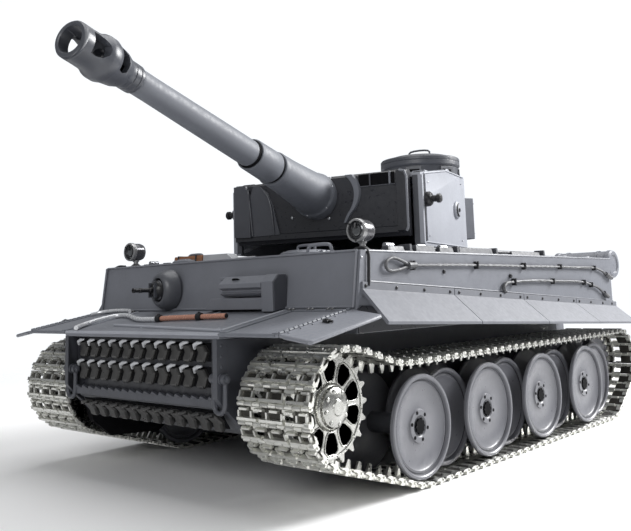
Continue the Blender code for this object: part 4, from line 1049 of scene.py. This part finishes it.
def roof_fittings():
    """Tools and boxes along the roof's edges, the wooden block, the pale spade and the roof's welds."""
    tools = Piece(rubber)
    for s in (1, -1):
        tools.use = rubber
        for y0, y1, width, height in (
            (-112, -98, 5.0, 2.6), (-88, -70, 5.4, 3.6), (-66, -52, 4.2, 3.2), (-46, -9, 3.4, 3.4),
            (14, 52, 3.0, 2.4)
        ):
            tools.slab(s, (98.6 - width, 98.6), (y0, y1), (HULL_TOP, HULL_TOP + height), 0.7)
        tools.rod((s * 95.5, -100, 113.4), (s * 95.5, -46, 113.4), 1.1, 8)
        tools.rod((s * 96.5, -8, 113.2), (s * 96.5, 60, 113.2), 1.0, 8)
        tools.use = steel
        for y in (-106, -78, -57):
            tools.rod((s * 94.2, y - 3.2, 114.6), (s * 94.2, y + 3.2, 114.6), 1.5, 10)
        tools.use = rubber
        for y in (-94, -49, -6, 56):
            tools.slab(s, (92.6, 99.6), (y - 1.2, y + 1.2), (HULL_TOP, HULL_TOP + 3.8), 0.3)
        tools.use = paint
        for y in (70, 110, 150):
            tools.disc([(4.6, 0), (4.6, 1.2), (3.9, 1.9), (1.0, 2.2)], (s * 86, y, HULL_TOP), 24)
    tools.use = wood
    tools.box((-54.8, -121.5, HULL_TOP), (-28.6, -113.5, HULL_TOP + 4.8), 0.7)
    tools.use = pale
    tools.loft([
        [
            (u, -121.0, HULL_TOP + 0.1), (u, -114.0, HULL_TOP + 0.1), (u, -114.4, HULL_TOP + t),
            (u, -120.6, HULL_TOP + t)
        ]
        for u, t in ((-28.2, 4.8), (-8.0, 4.6), (-3.0, 1.2))
    ])
    tools.rod((-3.5, -117.5, HULL_TOP + 1.2), (12, -117.5, HULL_TOP + 1.2), 1.0, 8)
    tools.use = rubber
    for x in (-50, -34):
        tools.box((x - 0.5, -121.9, HULL_TOP), (x + 0.5, -113.1, HULL_TOP + 5.2), 0.2)
    tools.emit("roof_tools", bevel=0.2)
    loops = Piece(paint)
    loops.tube(curve_through(
        [
            (64.6, -133.2, 111.0), (65.6, -133.0, 114.4), (67.8, -133.0, 115.6), (77.4, -133.0, 115.6),
            (79.8, -133.0, 114.4), (80.8, -133.2, 111.0)
        ],
        4
    ), 0.85, 8)
    for x in (-12, 12):
        loops.disc([(1.8, 0), (1.8, 1.1), (0.6, 1.4)], (x, -115, HULL_TOP), 16)
    loops.disc([(63.0, -0.1), (63.0, 0.9), (61.4, 1.2), (60.6, -0.1)], (0, 7.8, HULL_TOP), 96, closed=True)
    loops.tube([(-98, 68, 111.5), (98, 68, 111.5)], 0.5, 6)
    loops.tube([(-60, 80.4, 111.5), (60, 80.4, 111.5)], 0.5, 6)
    for x, y in [(sx * 70, ky) for sx in (-1, 1) for ky in (76, 118, 158)]:
        loops.bolt((x, y, HULL_TOP), (0, 0, 1), 1.3, 0.8)
    loops.emit("roof_trim")


def crew_hatches():
    """The driver's and the radio operator's round lids, with handle, hinge and screws."""
    for side, node in ((1, "driver_hatch"), (-1, "radio_hatch")):
        x, y, z = side * CREW_HATCH[0], CREW_HATCH[1], CREW_HATCH[2]
        lid = Piece(paint)
        lid.lathe([
            (14.0, 0.0), (14.0, 1.5), (13.2, 2.1), (12.2, 2.2), (11.7, 2.0), (11.2, 2.6), (10.4, 3.0),
            (4.0, 3.3), (0.5, 3.4), (0.5, -1.5), (11.4, -1.5), (11.4, 0.0)
        ], Matrix.Translation((x, y, z)), 48)
        lid.tube(curve_through(
            [
                (x - 6, y, z + 2.8), (x - 5.6, y, z + 5.4), (x, y, z + 5.8), (x + 5.6, y, z + 5.4),
                (x + 6, y, z + 2.8)
            ],
            5
        ), 0.75, 8)
        for k in range(3):
            start = Vector((side * 60.0, y - 5 + 3.6 * k, z + 1.3))
            lid.rod(start, start + Vector((0, 2.8, 0)), 1.1, 10)
        lid.slab(side, (56.5, 60.0), (y - 4.6, y + 4.6), (z + 0.6, z + 1.9), 0.2)
        lid.use = steel
        for a, b in ring_of(8, 12.9, 0.4):
            lid.bolt((x + a, y + b, z + 2.0), (0, 0, 1), 0.6, 0.4)
        lid.emit(f"{node}_lid", HULL, body_of(node), [node], bevel=0.12)


# ------------------------------------------------------------------ deck and rear
def engine_deck():
    """The bolted engine cover with wire grilles in its slots and two ranks of fixing bolts."""
    softened("engine_deck", paint, 0.35)
    piece = Piece(dark)
    z = HULL_TOP + 2.3
    for x in (-29, 29):
        for k in range(4):
            y0, y1 = 94 + 12 * k, 99 + 12 * k
            for i in range(13):
                wire_x = x - 19.2 + i * 3.2
                piece.rod((wire_x, y0 - 0.4, z - 0.9), (wire_x, y1 + 0.4, z - 0.9), 0.32, 5)
            piece.rod((x - 20, (y0 + y1) / 2, z - 0.6), (x + 20, (y0 + y1) / 2, z - 0.6), 0.32, 5)
    piece.use = steel
    for x in (-54, -27, 0, 27, 54):
        for y in (86, 152):
            piece.bolt((x, y, z), (0, 0, 1), 1.1, 0.8)
    piece.use = paint
    for x in (-46, 46):
        piece.grip((x, 90, z - 0.4), 5, 3.0)
    piece.box((-3.2, 104.0, z), (3.2, 110.0, z + 1.6), 0.5)
    piece.box((-3.2, 132.0, z), (3.2, 138.0, z + 1.6), 0.5)
    piece.emit("deck_grilles")


def rear():
    """Silencers with their shields, the dust drums and the fittings of the rear plate."""
    for side, word in SIDES:
        x, y = side * 28.0, HULL_REAR + 12.3
        at = Matrix.Translation((x, y, 0))
        piece = Piece(dark)
        piece.lathe([
            (2.9, 102), (2.9, 112.6), (3.6, 113.0), (4.2, 112.6), (4.2, 107.2), (5.4, 106.4), (8.4, 104.6),
            (9.2, 103.2), (9.2, 98.6), (8.9, 98.2), (9.2, 97.8), (9.2, 69.4), (7.6, 66.2), (5.0, 65.0),
            (0.4, 65.0)
        ], at, 36)
        piece.use = paint
        sweep = [pi * (0.12 + 0.76 * k / 14) for k in range(15)]
        shield = [(x + 10.3 * cos(a), y + 10.3 * sin(a)) for a in sweep]
        shield += [(x + 9.6 * cos(a), y + 9.6 * sin(a)) for a in sweep[::-1]]
        piece.prism(shield, 70.0, 98.0, "Z")
        piece.box((x - 4, HULL_REAR + 0.3, 76), (x + 4, HULL_REAR + 6, 84), 0.3)
        for z in (74.0, 94.0):
            for a in (0.2 * pi, 0.5 * pi, 0.8 * pi):
                out = Vector((cos(a), sin(a), 0))
                piece.bolt(Vector((x, y, z)) + 10.2 * out, out, 0.8, 0.6)
        piece.emit(f"{word}_silencer", replaces=[f"{word}_exhaust"], bevel=0.2)

        y, z = HULL_REAR + 12.0, 107.5
        drum = Piece(paint)
        lay = Matrix.Translation((side * 54.0, y, z)) @ Matrix.Rotation(side * pi / 2, 4, "Y")
        drum.lathe([
            (0.5, 0), (9.4, 0), (10.5, 0.9), (10.5, 3.6), (9.9, 4.2), (9.9, 40.6), (10.5, 41.2),
            (10.5, 44.0), (9.6, 45.0), (7.2, 45.0), (6.8, 44.2), (0.5, 44.2)
        ], lay, 40)
        drum.slab(side, (71, 81), (HULL_REAR + 0.3, HULL_REAR + 8), (90, 101), 0.3)
        for x in (64.0, 88.0):
            drum.collar([(10.2, -0.9), (10.45, -0.9), (10.45, 0.9), (10.2, 0.9)], (side * x, y, z), 40)
        drum.use = black
        for x in (64.0, 88.0):
            drum.bolt((side * x, y + 10.3, z), (0, 1, 0), 1.0, 0.6)
        drum.emit(f"{word}_dust_drum", replaces=[f"{word}_air_filter"], bevel=0.15)

    piece = Piece(paint)
    y = HULL_REAR
    for s in (1, -1):
        piece.use = paint
        piece.slab(s, (86, 99), (y, y + 1.6), (78, 90), 0.4)
        piece.slab(s, (44, 58), (y, y + 3.0), (79, 87), 0.8)
        piece.use = dark
        piece.collar([
            (1.6, 1.0), (3.4, 0.8), (3.6, 0.0), (3.4, -0.8), (1.6, -1.0)
        ], (s * 50, y + 1.6, 65), 20)
        for x0, x1 in ((46.4, 48.6), (51.4, 53.6)):
            piece.slab(s, (x0, x1), (y - 1.2, y + 4.6), (59.5, 70.5), 0.4)
        piece.use = steel
        for x, z in ((88, 81), (97, 81), (88, 87), (97, 87)):
            piece.bolt((s * x, y + 1.5, z), (0, 1, 0), 0.8, 0.6)
        piece.use = paint
        piece.slab(s, (58.2, 60.8), (150.0, y + 0.6), (56.0, 73.0), 0.2)
    piece.use = dark
    piece.box((-12, y, 74.5), (12, y + 2.4, 86.0), 0.6)
    piece.lathe(
        [(6.5, 0), (6.5, 1.6), (5.6, 2.2), (0.6, 2.4)],
        Matrix.Translation((0, y, 97.5)) @ Matrix.Rotation(-pi / 2, 4, "X"), 32
    )
    piece.use = black
    piece.rod((0, y + 2.2, 97.5), (0, y + 4.4, 97.5), 2.0, 12)
    piece.rod((-14, y + 3.6, 70.0), (14, y + 3.6, 70.0), 1.0, 8)
    piece.use = steel
    for a, b in ring_of(6, 5.0):
        piece.bolt((a, y + 1.8, 97.5 + b), (0, 1, 0), 0.6, 0.5)
    piece.emit("rear_fittings", bevel=0.2)


def belly():
    """Swing arms' caps along the tub's sides, a near-black housing behind each sprocket as painted shade, the
    belly's panels and its bolts.
    """
    piece = Piece(dark)
    cover = [
        (-177, 42), (-172, 27), (-160, 17.5), (-128, 15.5), (-119, 22), (-117, 44), (-130, 60), (-166, 62)
    ]
    for s in (1, -1):
        # the near-black housing behind each sprocket: painted shade that closes the gap between sprocket and first
        # wheel
        piece.use = shade_and_black
        piece.side_prism(s, cover, 60.7, 64.6)
        for k in range(8):
            y = FIRST_Y + PITCH_Y * k + 9.0
            piece.use = dark
            piece.lathe([(4.6, 60.0), (4.6, 62.6), (3.8, 63.4), (1.0, 63.6)], axle(s, y, WHEEL_Z + 5.5), 20)
            piece.use = steel
            piece.bolt((s * 63.4, y, WHEEL_Z + 5.5), (s, 0, 0), 1.2, 0.7)
        piece.use = dark
    for y0, y1 in ((-150, -110), (-96, -20), (-8, 68), (82, 146)):
        piece.box((-44, y0, 28.3), (44, y1, 29.2), 0.0)
        piece.use = steel
        for x in (-40, 0, 40):
            for y in (y0 + 4, y1 - 4):
                piece.bolt((x, y, 28.4), (0, 0, -1), 1.2, 0.6)
        piece.use = dark
    piece.emit("belly_fittings", bevel=0.15)


def insides():
    """The working parts inside, which are the CAD's own shapes with softer edges."""
    for node, made in (
        ("twin_gearbox", black), ("battery_pack", sleeve_blue), ("circuit_board", board),
        ("turret_ring", black), ("bb_unit", black)
    ):
        softened(node, made, 0.3)


# ------------------------------------------------------------------ turret
EDGE_Z = (118.2, 157.0)  # the turret front plate's lower and upper edge
ROOF_Z = 165.9


def turret():
    """The shell with its front edges, ports, roof fittings and lifting eyes, and the bin behind."""
    softened("turret_shell", lit_grey_paint, 0.7)
    piece = Piece(lit_grey_paint)
    for s in (1, -1):
        # the front plate's edge in dark paint: painted shade on the front-facing edge
        piece.use = dark
        piece.slab(s, (57.2, 60.4), (-78.8, -78.1), EDGE_Z)
        piece.use = lit_grey_paint
        piece.slab(s, (60.4, 63.0), (-78.8, -78.1), EDGE_Z)
        piece.slab(s, (61.9, 63.0), (-78.2, -74.6), EDGE_Z)
        # a black strip for the groove beside the edge: painted shade in the groove
        piece.use = black
        piece.slab(s, (62.6, 63.2), (-76.4, -75.2), (119.4, 157.2))
        piece.use = lit_grey_paint
        piece.tube([(s * 61.9, -73, 158.4), (s * 61.9, -30, 165.0), (s * 61.9, 6, 165.0)], 0.55, 6)
        piece.tube([(s * 62.0, -73.4, 119.2), (s * 62.0, 5, 119.2)], 0.55, 6)
        piece.tube([(s * 62.0, -70.6, 120.0), (s * 62.0, -70.6, 158.2)], 0.35, 6)
        piece.lathe([
            (5.6, 61.4), (5.6, 62.6), (4.9, 63.3), (3.6, 63.7), (0.5, 63.9)
        ], axle(s, -12.0, 142.0), 36)
        piece.use = black
        arc_points = [
            (s * 63.8, -12 + 3.9 * cos(a), 142 + 3.9 * sin(a))
            for a in (pi * (0.55 + 0.95 * k / 10) for k in range(11))
        ]
        piece.tube(arc_points, 0.5, 6)
        piece.rod((s * 63.2, -12, 142), (s * 64.4, -12, 142), 1.3, 12)
        piece.lathe([
            (2.0, 60.5), (4.3, 61.8), (4.3, 64.8), (3.4, 66.2), (1.9, 66.4), (1.9, 69.0), (2.6, 69.4),
            (2.6, 71.2), (1.8, 71.9), (0.5, 72.0)
        ], axle(s, -72.4, 143.4), 24)
        piece.use = steel
        for y, z in ((-66, 123), (-66, 154), (-2, 123), (0, 160)):
            piece.bolt((s * 61.9, y, z), (s, 0, 0), 0.6, 0.4)
    piece.use = dark
    for x in (-50, -30, -10, 10, 30, 50):
        piece.bolt((x, -74.6, 158.6), (0, -0.15, 1), 0.8, 0.5)
    piece.use = lit_grey_paint
    piece.tube([(-60.6, -30.3, 165.7), (60.6, -30.3, 165.7)], 0.4, 6)
    piece.disc([(6.6, -0.4), (6.6, 0.9), (5.6, 1.7), (0.6, 2.0)], (-36, 34, ROOF_Z), 28)
    piece.disc([(4.4, -0.4), (4.4, 2.1), (3.2, 2.7), (0.6, 2.7)], (0, -12, ROOF_Z), 24)
    piece.box((36, -22, ROOF_Z - 0.6), (46, -12, ROOF_Z + 2.7), 0.9)
    piece.use = black
    piece.box((37.4, -22.4, ROOF_Z + 0.4), (44.6, -21.2, ROOF_Z + 2.0), 0.1)
    piece.use = steel
    for a, b in ring_of(6, 5.4):
        piece.bolt((a - 36, b + 34, ROOF_Z + 1.1), (0, 0, 1), 0.55, 0.5)
    piece.use = lit_grey_paint
    for x, y in ((52, 4), (-52, 4), (0, 50)):
        piece.grip((x, y, ROOF_Z - 0.5), 3.6, 4.8, radius=0.8, lean=0.6, along="Y")
    piece.emit("turret_fittings", TURRET, "turret", bevel=0.12)

    softened("stowage_bin", paint, 0.6)
    trim = Piece(paint)
    for a in (radians(d) for d in (62, 90, 118)):
        p = Vector((84.2 * cos(a), 84.2 * sin(a), 0))
        trim.rod(p + Vector((0, 0, 150.0)), p + Vector((0, 0, 157.0)), 0.9, 8)
        trim.rod(p * 0.9 + Vector((0, 0, 158.4)), p + Vector((0, 0, 157.2)), 0.8, 8)
        trim.use = steel
        trim.bolt(p + Vector((0, 0, 148.0)), (cos(a), sin(a), 0), 1.3, 0.9)
        trim.use = paint
    for z, radius in ((153.8, 0.5), (132.0, 0.4)):
        sweep = (radians(52.5 + 75 * k / 24) for k in range(25))
        trim.tube([(84.0 * cos(a), 84.0 * sin(a), z) for a in sweep], radius, 6)
    trim.emit("bin_straps", TURRET, "turret")


def cupola():
    """The commander's drum with its vision blocks, its lid, and the loader's lid."""
    x, y = 28.0, 19.4
    at = Matrix.Translation((x, y, 0))
    top, base = 182.0, ROOF_Z
    piece = Piece(cupola_paint)
    piece.lathe([
        (17.0, top - 0.5), (18.0, top - 0.1), (24.6, top), (26.6, top - 0.5), (27.2, top - 1.3),
        (27.2, top - 3.0), (26.8, top - 3.3), (27.2, top - 3.6), (27.2, top - 6.0), (26.6, top - 6.9),
        (25.9, top - 7.3), (25.6, base + 2.0), (26.6, base + 1.2), (26.8, base), (17.0, base)
    ], at, 72, closed=True)
    for k in range(7):
        a = radians(-80 + 51.4 * k)
        turn = Matrix.Translation((x, y, 0)) @ Matrix.Rotation(a, 4, "Z")
        piece.at = turn
        piece.use = cupola_paint
        piece.box((25.0, -5.2, base + 3.0), (26.5, 5.2, base + 8.0), 0.0)
        piece.use = shade_and_black
        piece.box((26.2, -3.8, base + 4.6), (26.62, 3.8, base + 6.2), 0.0)
        piece.use = dark
        for s in (-1, 1):
            piece.bolt((26.4, s * 4.6, base + 3.9), (1, 0, 0), 0.5, 0.4)
    piece.at = Matrix.Identity(4)
    piece.emit("cupola_drum", TURRET, "turret", ["cupola"], bevel=0.1)

    lid = Piece(cupola_paint)
    base = top + 0.3
    lid.lathe([
        (19.5, base), (19.5, base + 0.7), (18.8, base + 1.3), (17.4, base + 1.3), (16.8, base + 1.0),
        (15.6, base + 1.6), (1.0, base + 1.8), (1.0, base)
    ], at, 48)
    lid.grip((x, y, base + 1), 7, 5.0, lean=0.6)
    for k in range(3):
        start = Vector((x - 5 + 3.5 * k, y + 21.5, base + 1.2))
        lid.rod(start, start + Vector((2.9, 0, 0)), 1.1, 10)
    lid.box((x - 4.6, y + 17.5, base + 0.5), (x + 4.6, y + 21.4, base + 1.7), 0.2)
    lid.use = steel
    lid.bolt((x, y - 10, base + 1.5), (0, 0, 1), 1.6, 0.9, 12)
    lid.emit("commander_lid", TURRET, "commander_lid", ["commander_hatch"], bevel=0.12)

    x, y = -31.0, 2.0
    base = ROOF_Z
    lid = Piece(paint)
    outline = rounded(14.0, 13.0, 3.0)
    lid.prism([(x + a, y + b) for a, b in outline], base, base + 1.6, "Z")
    lid.prism([(x + a * 0.84, y + b * 0.84) for a, b in outline], base + 1.5, base + 2.2, "Z")
    lid.grip((x, y + 5, base + 1.5), 5, 3.3)
    for k in range(4):
        start = Vector((x - 8 + 4.2 * k, y - 14.5, base + 1.1))
        lid.rod(start, start + Vector((3.4, 0, 0)), 1.0, 10)
    for k in (-6, 6):
        lid.box((x + k - 1.6, y - 14.4, base + 0.6), (x + k + 1.6, y - 9, base + 2.2), 0.2)
    lid.use = steel
    for a, b in ((-11, -10), (11, -10), (-11, 10), (11, 10)):
        lid.bolt((x + a, y + b, base + 2.1), (0, 0, 1), 0.8, 0.6)
    lid.emit("loader_lid", TURRET, "loader_lid", ["loader_hatch"], bevel=0.2)


def rounded(half_x, half_y, radius, steps=5):
    """A rectangle with round corners."""
    made = []
    for k, (sx, sy) in enumerate(((1, 1), (-1, 1), (-1, -1), (1, -1))):
        for i in range(steps + 1):
            a = pi / 2 * (k + i / steps)
            made.append((
                sx * (half_x - radius) + radius * cos(a), sy * (half_y - radius) + radius * sin(a)
            ))
    return made


# ------------------------------------------------------------------ gun
def along(frame_):
    """The frame whose z runs forward along the gun."""
    return frame_ @ Matrix.Rotation(pi / 2, 4, "X")


def gun():
    """The mantlet with its folded plates and sleeve, and the barrel that slides in it."""
    shield = Piece(mantlet_and_shade_dark)
    half = 56.5
    shield.prism([
        (-41.0, -12.0), (-37.4, -17.5), (-35.0, -17.5), (-35.0, 19.5), (-39.6, 19.5), (-41.0, 18.0)
    ], -half, half, "X")
    shield.use = dark
    shield.prism([
        (-56.0, -13.0), (-56.0, 18.4), (-47.6, 18.4), (-45.2, 12.0), (-44.4, -13.4)
    ], -43.6, -40.9, "Y")
    shield.prism([
        (-44.2, -13.0), (-45.0, 12.0), (-42.6, 18.0), (-38.0, 17.4), (-32.5, 13.0), (-29.0, 5.0),
        (-27.0, -4.0), (-24.6, -12.6)
    ], -42.3, -40.9, "Y")
    shield.use = mantlet_and_shade_dark
    shield.prism([(50.6, -14.8), (50.6, 19.0), (56.4, 19.0), (56.4, -14.8)], -42.4, -36.0, "Y")
    shield.prism([(-56.4, -15.6), (-56.4, -12.4), (50.6, -12.4), (50.6, -15.6)], -41.6, -38.0, "Y")
    # a near-black panel: painted shade in the recessed frame
    shield.use = shade_and_black
    shield.prism([(27.4, 11.8), (27.4, 18.6), (49.4, 18.6), (49.4, 11.8)], -41.25, -40.9, "Y")
    shield.use = dark
    shield.box((34.2, -42.0, 11.6), (35.0, -41.0, 19.0), 0.0)
    shield.tube([(27.2, -41.3, 11.6), (49.6, -41.3, 11.6)], 0.4, 6)
    shield.use = paint
    shield.box((46.3, -42.4, 11.8), (47.3, -41.0, 19.0), 0.0)
    # a lighter rolled edge round the right plate: a painted highlight on its rounded corner
    shield.tube([
        (52.5, -42.2, 19.0), (55.8, -42.2, 18.4), (56.6, -41.8, 15.0), (56.6, -41.8, -13.0),
        (55.8, -42.2, -15.4)
    ], 0.75, 8)
    # a raised strip in the lighter gun paint; its brightness is partly a painted reflection
    shield.use = gun_paint
    band = curve_through([
        (21.6, 0, 19.2), (24.8, 0, 15.0), (26.4, 0, 10.0), (26.0, 0, 4.6), (23.8, 0, -0.4), (21.0, 0, -4.0),
        (18.6, 0, -8.5)
    ], 4)
    rings = []
    for i, p in enumerate(band):
        w = 2.9 - 1.9 * i / (len(band) - 1)
        rings.append([
            (p.x - w, -40.9, p.z), (p.x - w * 0.7, -42.9, p.z), (p.x + w * 0.7, -42.9, p.z),
            (p.x + w, -40.9, p.z)
        ])
    shield.loft(rings)
    shield.use = dark
    ridge = curve_through([
        (-35.4, -42.3, 14.6), (-31.6, -42.6, 9.0), (-29.6, -42.8, 1.0), (-28.8, -42.6, -8.0),
        (-28.4, -42.3, -12.0)
    ], 4)
    shield.tube(ridge, 0.7, 8)
    shield.tube([(-46.2, -42.6, 16.0), (-44.8, -42.8, 4.0), (-43.4, -42.6, -12.6)], 0.7, 8)
    shield.use = steel
    for x, z in ((9.4, 18.2), (-16.4, -3.2), (8.0, -5.2), (-15.5, 17.0)):
        shield.bolt((x, -41.0, z), (0, -1, 0), 1.1, 1.0)
    shield.use = black
    for s in (1, -1):
        shield.rod((s * 52, -38.0, 19.2), (s * 44, -38.0, 19.2), 0.9, 8)
    sleeve_at = MANTLET.inverted() @ along(GUN)
    sleeve_at.translation = Vector((0, 0, 0))
    shield.use = gun_paint
    shield.lathe([
        (7.5, 12.0), (7.5, 36.0), (13.5, 38.5), (13.5, 45.4), (13.1, 46.4), (12.6, 47.0), (12.4, 48.4),
        (12.1, 52.0), (11.0, 66.0), (10.0, 80.0), (9.65, 90.0), (9.6, 93.6), (9.2, 94.3)
    ], sleeve_at, 64)
    shield.lathe([
        (8.55, 96.2), (8.9, 96.8), (8.7, 104.0), (8.45, 116.0), (8.1, 116.8), (7.45, 116.8), (7.45, 96.2)
    ], sleeve_at, 64, closed=True)
    # a near-black ring at the sleeve's step: painted shadow in the gap
    shield.use = shade_and_black
    shield.lathe([(7.45, 94.0), (8.3, 94.2), (8.3, 96.3), (7.45, 96.3)], sleeve_at, 48, closed=True)
    shield.use = steel
    forward = sleeve_at.to_3x3() @ Vector((0, 0, 1))
    for a, b in ring_of(6, 12.9, 0.3):
        shield.bolt(sleeve_at @ Vector((a, b, 46.2)), forward, 0.7, 0.7)
    shield.emit("gun_shield", MANTLET, "gun", ["mantlet"], bevel=0.7, steps=3)

    tube = Piece(gun_paint)
    at = along(GUN)
    at = Matrix.Translation(at.translation / MM) @ at.to_3x3().to_4x4()
    tube.lathe([
        (3.0, 50.0), (7.0, 50.0), (7.0, 116.0), (6.95, 119.6), (6.5, 150.0), (6.0, 180.0), (5.72, 198.0),
        (5.7, 206.6), (5.4, 207.4), (3.0, 207.4)
    ], at, 56, closed=True)
    # a near-black ring where the barrel leaves the collar: painted shadow in the gap
    tube.use = shade_and_black
    tube.lathe([(6.5, 117.0), (7.35, 117.0), (7.35, 118.6), (6.5, 118.6)], at, 48, closed=True)
    tube.emit("gun_tube", Matrix.Identity(4), "barrel", ["gun_barrel"])
    brake(at)


def brake(at):
    """The double-baffle brake: an open mouth, two pairs of side windows and a broad middle band."""
    muzzle, start = 244.7, 207.8
    body = Piece(brake_paint)
    body.lathe([
        (5.7, muzzle - 0.3), (6.2, muzzle), (7.2, muzzle - 0.1), (7.75, muzzle - 0.8), (7.85, muzzle - 2.0),
        (7.85, muzzle - 7.0), (8.0, muzzle - 11.0), (8.6, muzzle - 13.2), (9.3, muzzle - 14.6),
        (9.5, muzzle - 15.6), (9.5, muzzle - 18.2), (9.2, muzzle - 19.2), (8.7, muzzle - 20.4),
        (8.2, muzzle - 23.5), (7.8, muzzle - 26.0), (6.9, muzzle - 28.4), (6.35, muzzle - 29.6),
        (6.35, muzzle - 31.4), (6.1, muzzle - 31.7), (6.35, muzzle - 32.0), (6.35, muzzle - 34.4),
        (6.1, muzzle - 34.7), (6.35, muzzle - 35.0), (6.3, start + 0.4), (6.0, start), (3.0, start),
        (3.0, muzzle - 27.4), (4.9, muzzle - 26.2), (5.2, muzzle - 20.6), (3.3, muzzle - 19.2),
        (3.3, muzzle - 15.0), (5.4, muzzle - 13.8)
    ], at, 72, closed=True)
    obj = body.emit("muzzle_brake_body", Matrix.Identity(4), "barrel", ["muzzle_brake"])
    cuts = Piece(shade_and_black)
    cuts.at = at
    d_shape = [
        (-5.3, 4.4), (-5.3, -4.4), (-8.0, -4.6), (-11.2, -4.0), (-13.2, -2.2), (-13.8, 0), (-13.2, 2.2),
        (-11.2, 4.0), (-8.0, 4.6)
    ]
    narrow = [
        (-20.3, 4.6), (-20.3, -4.6), (-22.5, -4.9), (-24.6, -3.8), (-25.4, 0), (-24.6, 3.8), (-22.5, 4.9)
    ]
    for outline in (d_shape, narrow):
        cuts.loft([[(x, h, muzzle + l) for l, h in outline] for x in (-14.0, 14.0)])
    bmesh.ops.recalc_face_normals(cuts.bm, faces=cuts.bm.faces)
    bmesh.ops.scale(cuts.bm, vec=(MM, MM, MM), verts=cuts.bm.verts)
    mesh = bpy.data.meshes.new("cuts")
    cuts.bm.to_mesh(mesh)
    cuts.bm.free()
    cutter = bpy.data.objects.new("cuts", mesh)
    bpy.context.scene.collection.objects.link(cutter)
    change = obj.modifiers.new("windows", "BOOLEAN")
    change.operation = "DIFFERENCE"
    change.solver = "EXACT"
    change.object = cutter
    bpy.context.view_layer.update()
    made = bpy.data.meshes.new_from_object(obj.evaluated_get(bpy.context.evaluated_depsgraph_get()))
    obj.modifiers.clear()
    obj.data = made
    bpy.data.objects.remove(cutter)
    made.shade_smooth()
    made.set_sharp_from_angle(angle=radians(SHARP_FROM))
    add_bevel(obj, 0.3)


# ------------------------------------------------------------------ floor, light and camera
def area(name, place, target, size, power):
    """A soft lamp of a size in metres and a power in watts."""
    data = bpy.data.lights.new(name, "AREA")
    data.shape = "RECTANGLE"
    data.size, data.size_y = size
    data.energy = power
    obj = bpy.data.objects.new(name, data)
    bpy.context.scene.collection.objects.link(obj)
    obj.location = place
    obj.rotation_euler = (Vector(target) - Vector(place)).to_track_quat("-Z", "Y").to_euler()


def stage():
    """A pale floor that fades out into a white surround, three soft lights and the camera."""
    bm = bmesh.new()
    bmesh.ops.create_circle(bm, cap_ends=True, segments=64, radius=1.9)
    mesh = bpy.data.meshes.new("floor")
    bm.to_mesh(mesh)
    bm.free()
    floor_paint = bpy.data.materials.new("floor")
    floor_paint.use_nodes = True
    tree = floor_paint.node_tree
    shader = tree.nodes["Principled BSDF"]
    tree.links.new(ramp(
        tree, noise(tree, 3.0, 2.0), ((0.3, 0.90), (0.7, 0.94))
    ), shader.inputs["Base Color"])
    shader.inputs["Roughness"].default_value = 0.55
    shader.inputs["Specular IOR Level"].default_value = 0.2
    reach = tree.nodes.new("ShaderNodeVectorMath")
    reach.operation = "LENGTH"
    tree.links.new(tree.nodes.new("ShaderNodeTexCoord").outputs["Object"], reach.inputs[0])
    shade = tree.nodes.new("ShaderNodeMapRange")
    shade.interpolation_type = "SMOOTHSTEP"
    for socket, value in zip(shade.inputs[1:5], (0.26, 0.85, 1.0, 0.0)):
        socket.default_value = value
    tree.links.new(reach.outputs["Value"], shade.inputs[0])
    tree.links.new(shade.outputs[0], shader.inputs["Alpha"])
    mesh.materials.append(floor_paint)
    floor = bpy.data.objects.new("floor", mesh)
    bpy.context.scene.collection.objects.link(floor)

    world = bpy.data.worlds.new("studio")
    bpy.context.scene.world = world
    world.use_nodes = True
    tree = world.node_tree
    back = tree.nodes["Background"]
    back.inputs[0].default_value = (0.95, 0.97, 1.0, 1.0)
    strength = tree.nodes.new("ShaderNodeMapRange")
    strength.inputs["To Min"].default_value = 0.26
    strength.inputs["To Max"].default_value = 1.06
    tree.links.new(tree.nodes.new("ShaderNodeLightPath").outputs["Is Camera Ray"], strength.inputs[0])
    tree.links.new(strength.outputs[0], back.inputs[1])
    area("key", (0.66, 0.93, 0.72), (0, 0.02, 0.06), (0.5, 0.5), 30.0)
    area("top", (0.0, 0.2, 1.3), (0, 0, 0.05), (1.2, 1.2), 11.0)
    area("fill", (0.5, -1.2, 0.62), (0, -0.1, 0.06), (0.7, 0.5), 6.2)

    data = bpy.data.cameras.new("camera")
    data.sensor_width = 36.0
    data.lens = 44.79
    data.shift_x, data.shift_y = -0.0062, -0.1154
    data.clip_start, data.clip_end = 0.01, 60.0
    camera = bpy.data.objects.new("camera", data)
    bpy.context.scene.collection.objects.link(camera)
    camera.location = HULL @ Vector((0.32399, -0.42065, 0.09205))
    camera.rotation_euler = (radians(97.319), radians(1.730), radians(41.252))
    bpy.context.scene.camera = camera
    bpy.context.scene.view_settings.view_transform = "Standard"


for side, word in SIDES:
    track(side, word)
    sprocket(side, word)
    idler_wheel(side, word)
    for station in range(1, 9):
        road_wheel(side, word, station)
nose()
shackles()
fenders()
glacis_trim()
front_plate()
headlights()
skirts()
side_fittings()
roof_fittings()
crew_hatches()
engine_deck()
rear()
belly()
insides()
turret()
cupola()
gun()
stage()
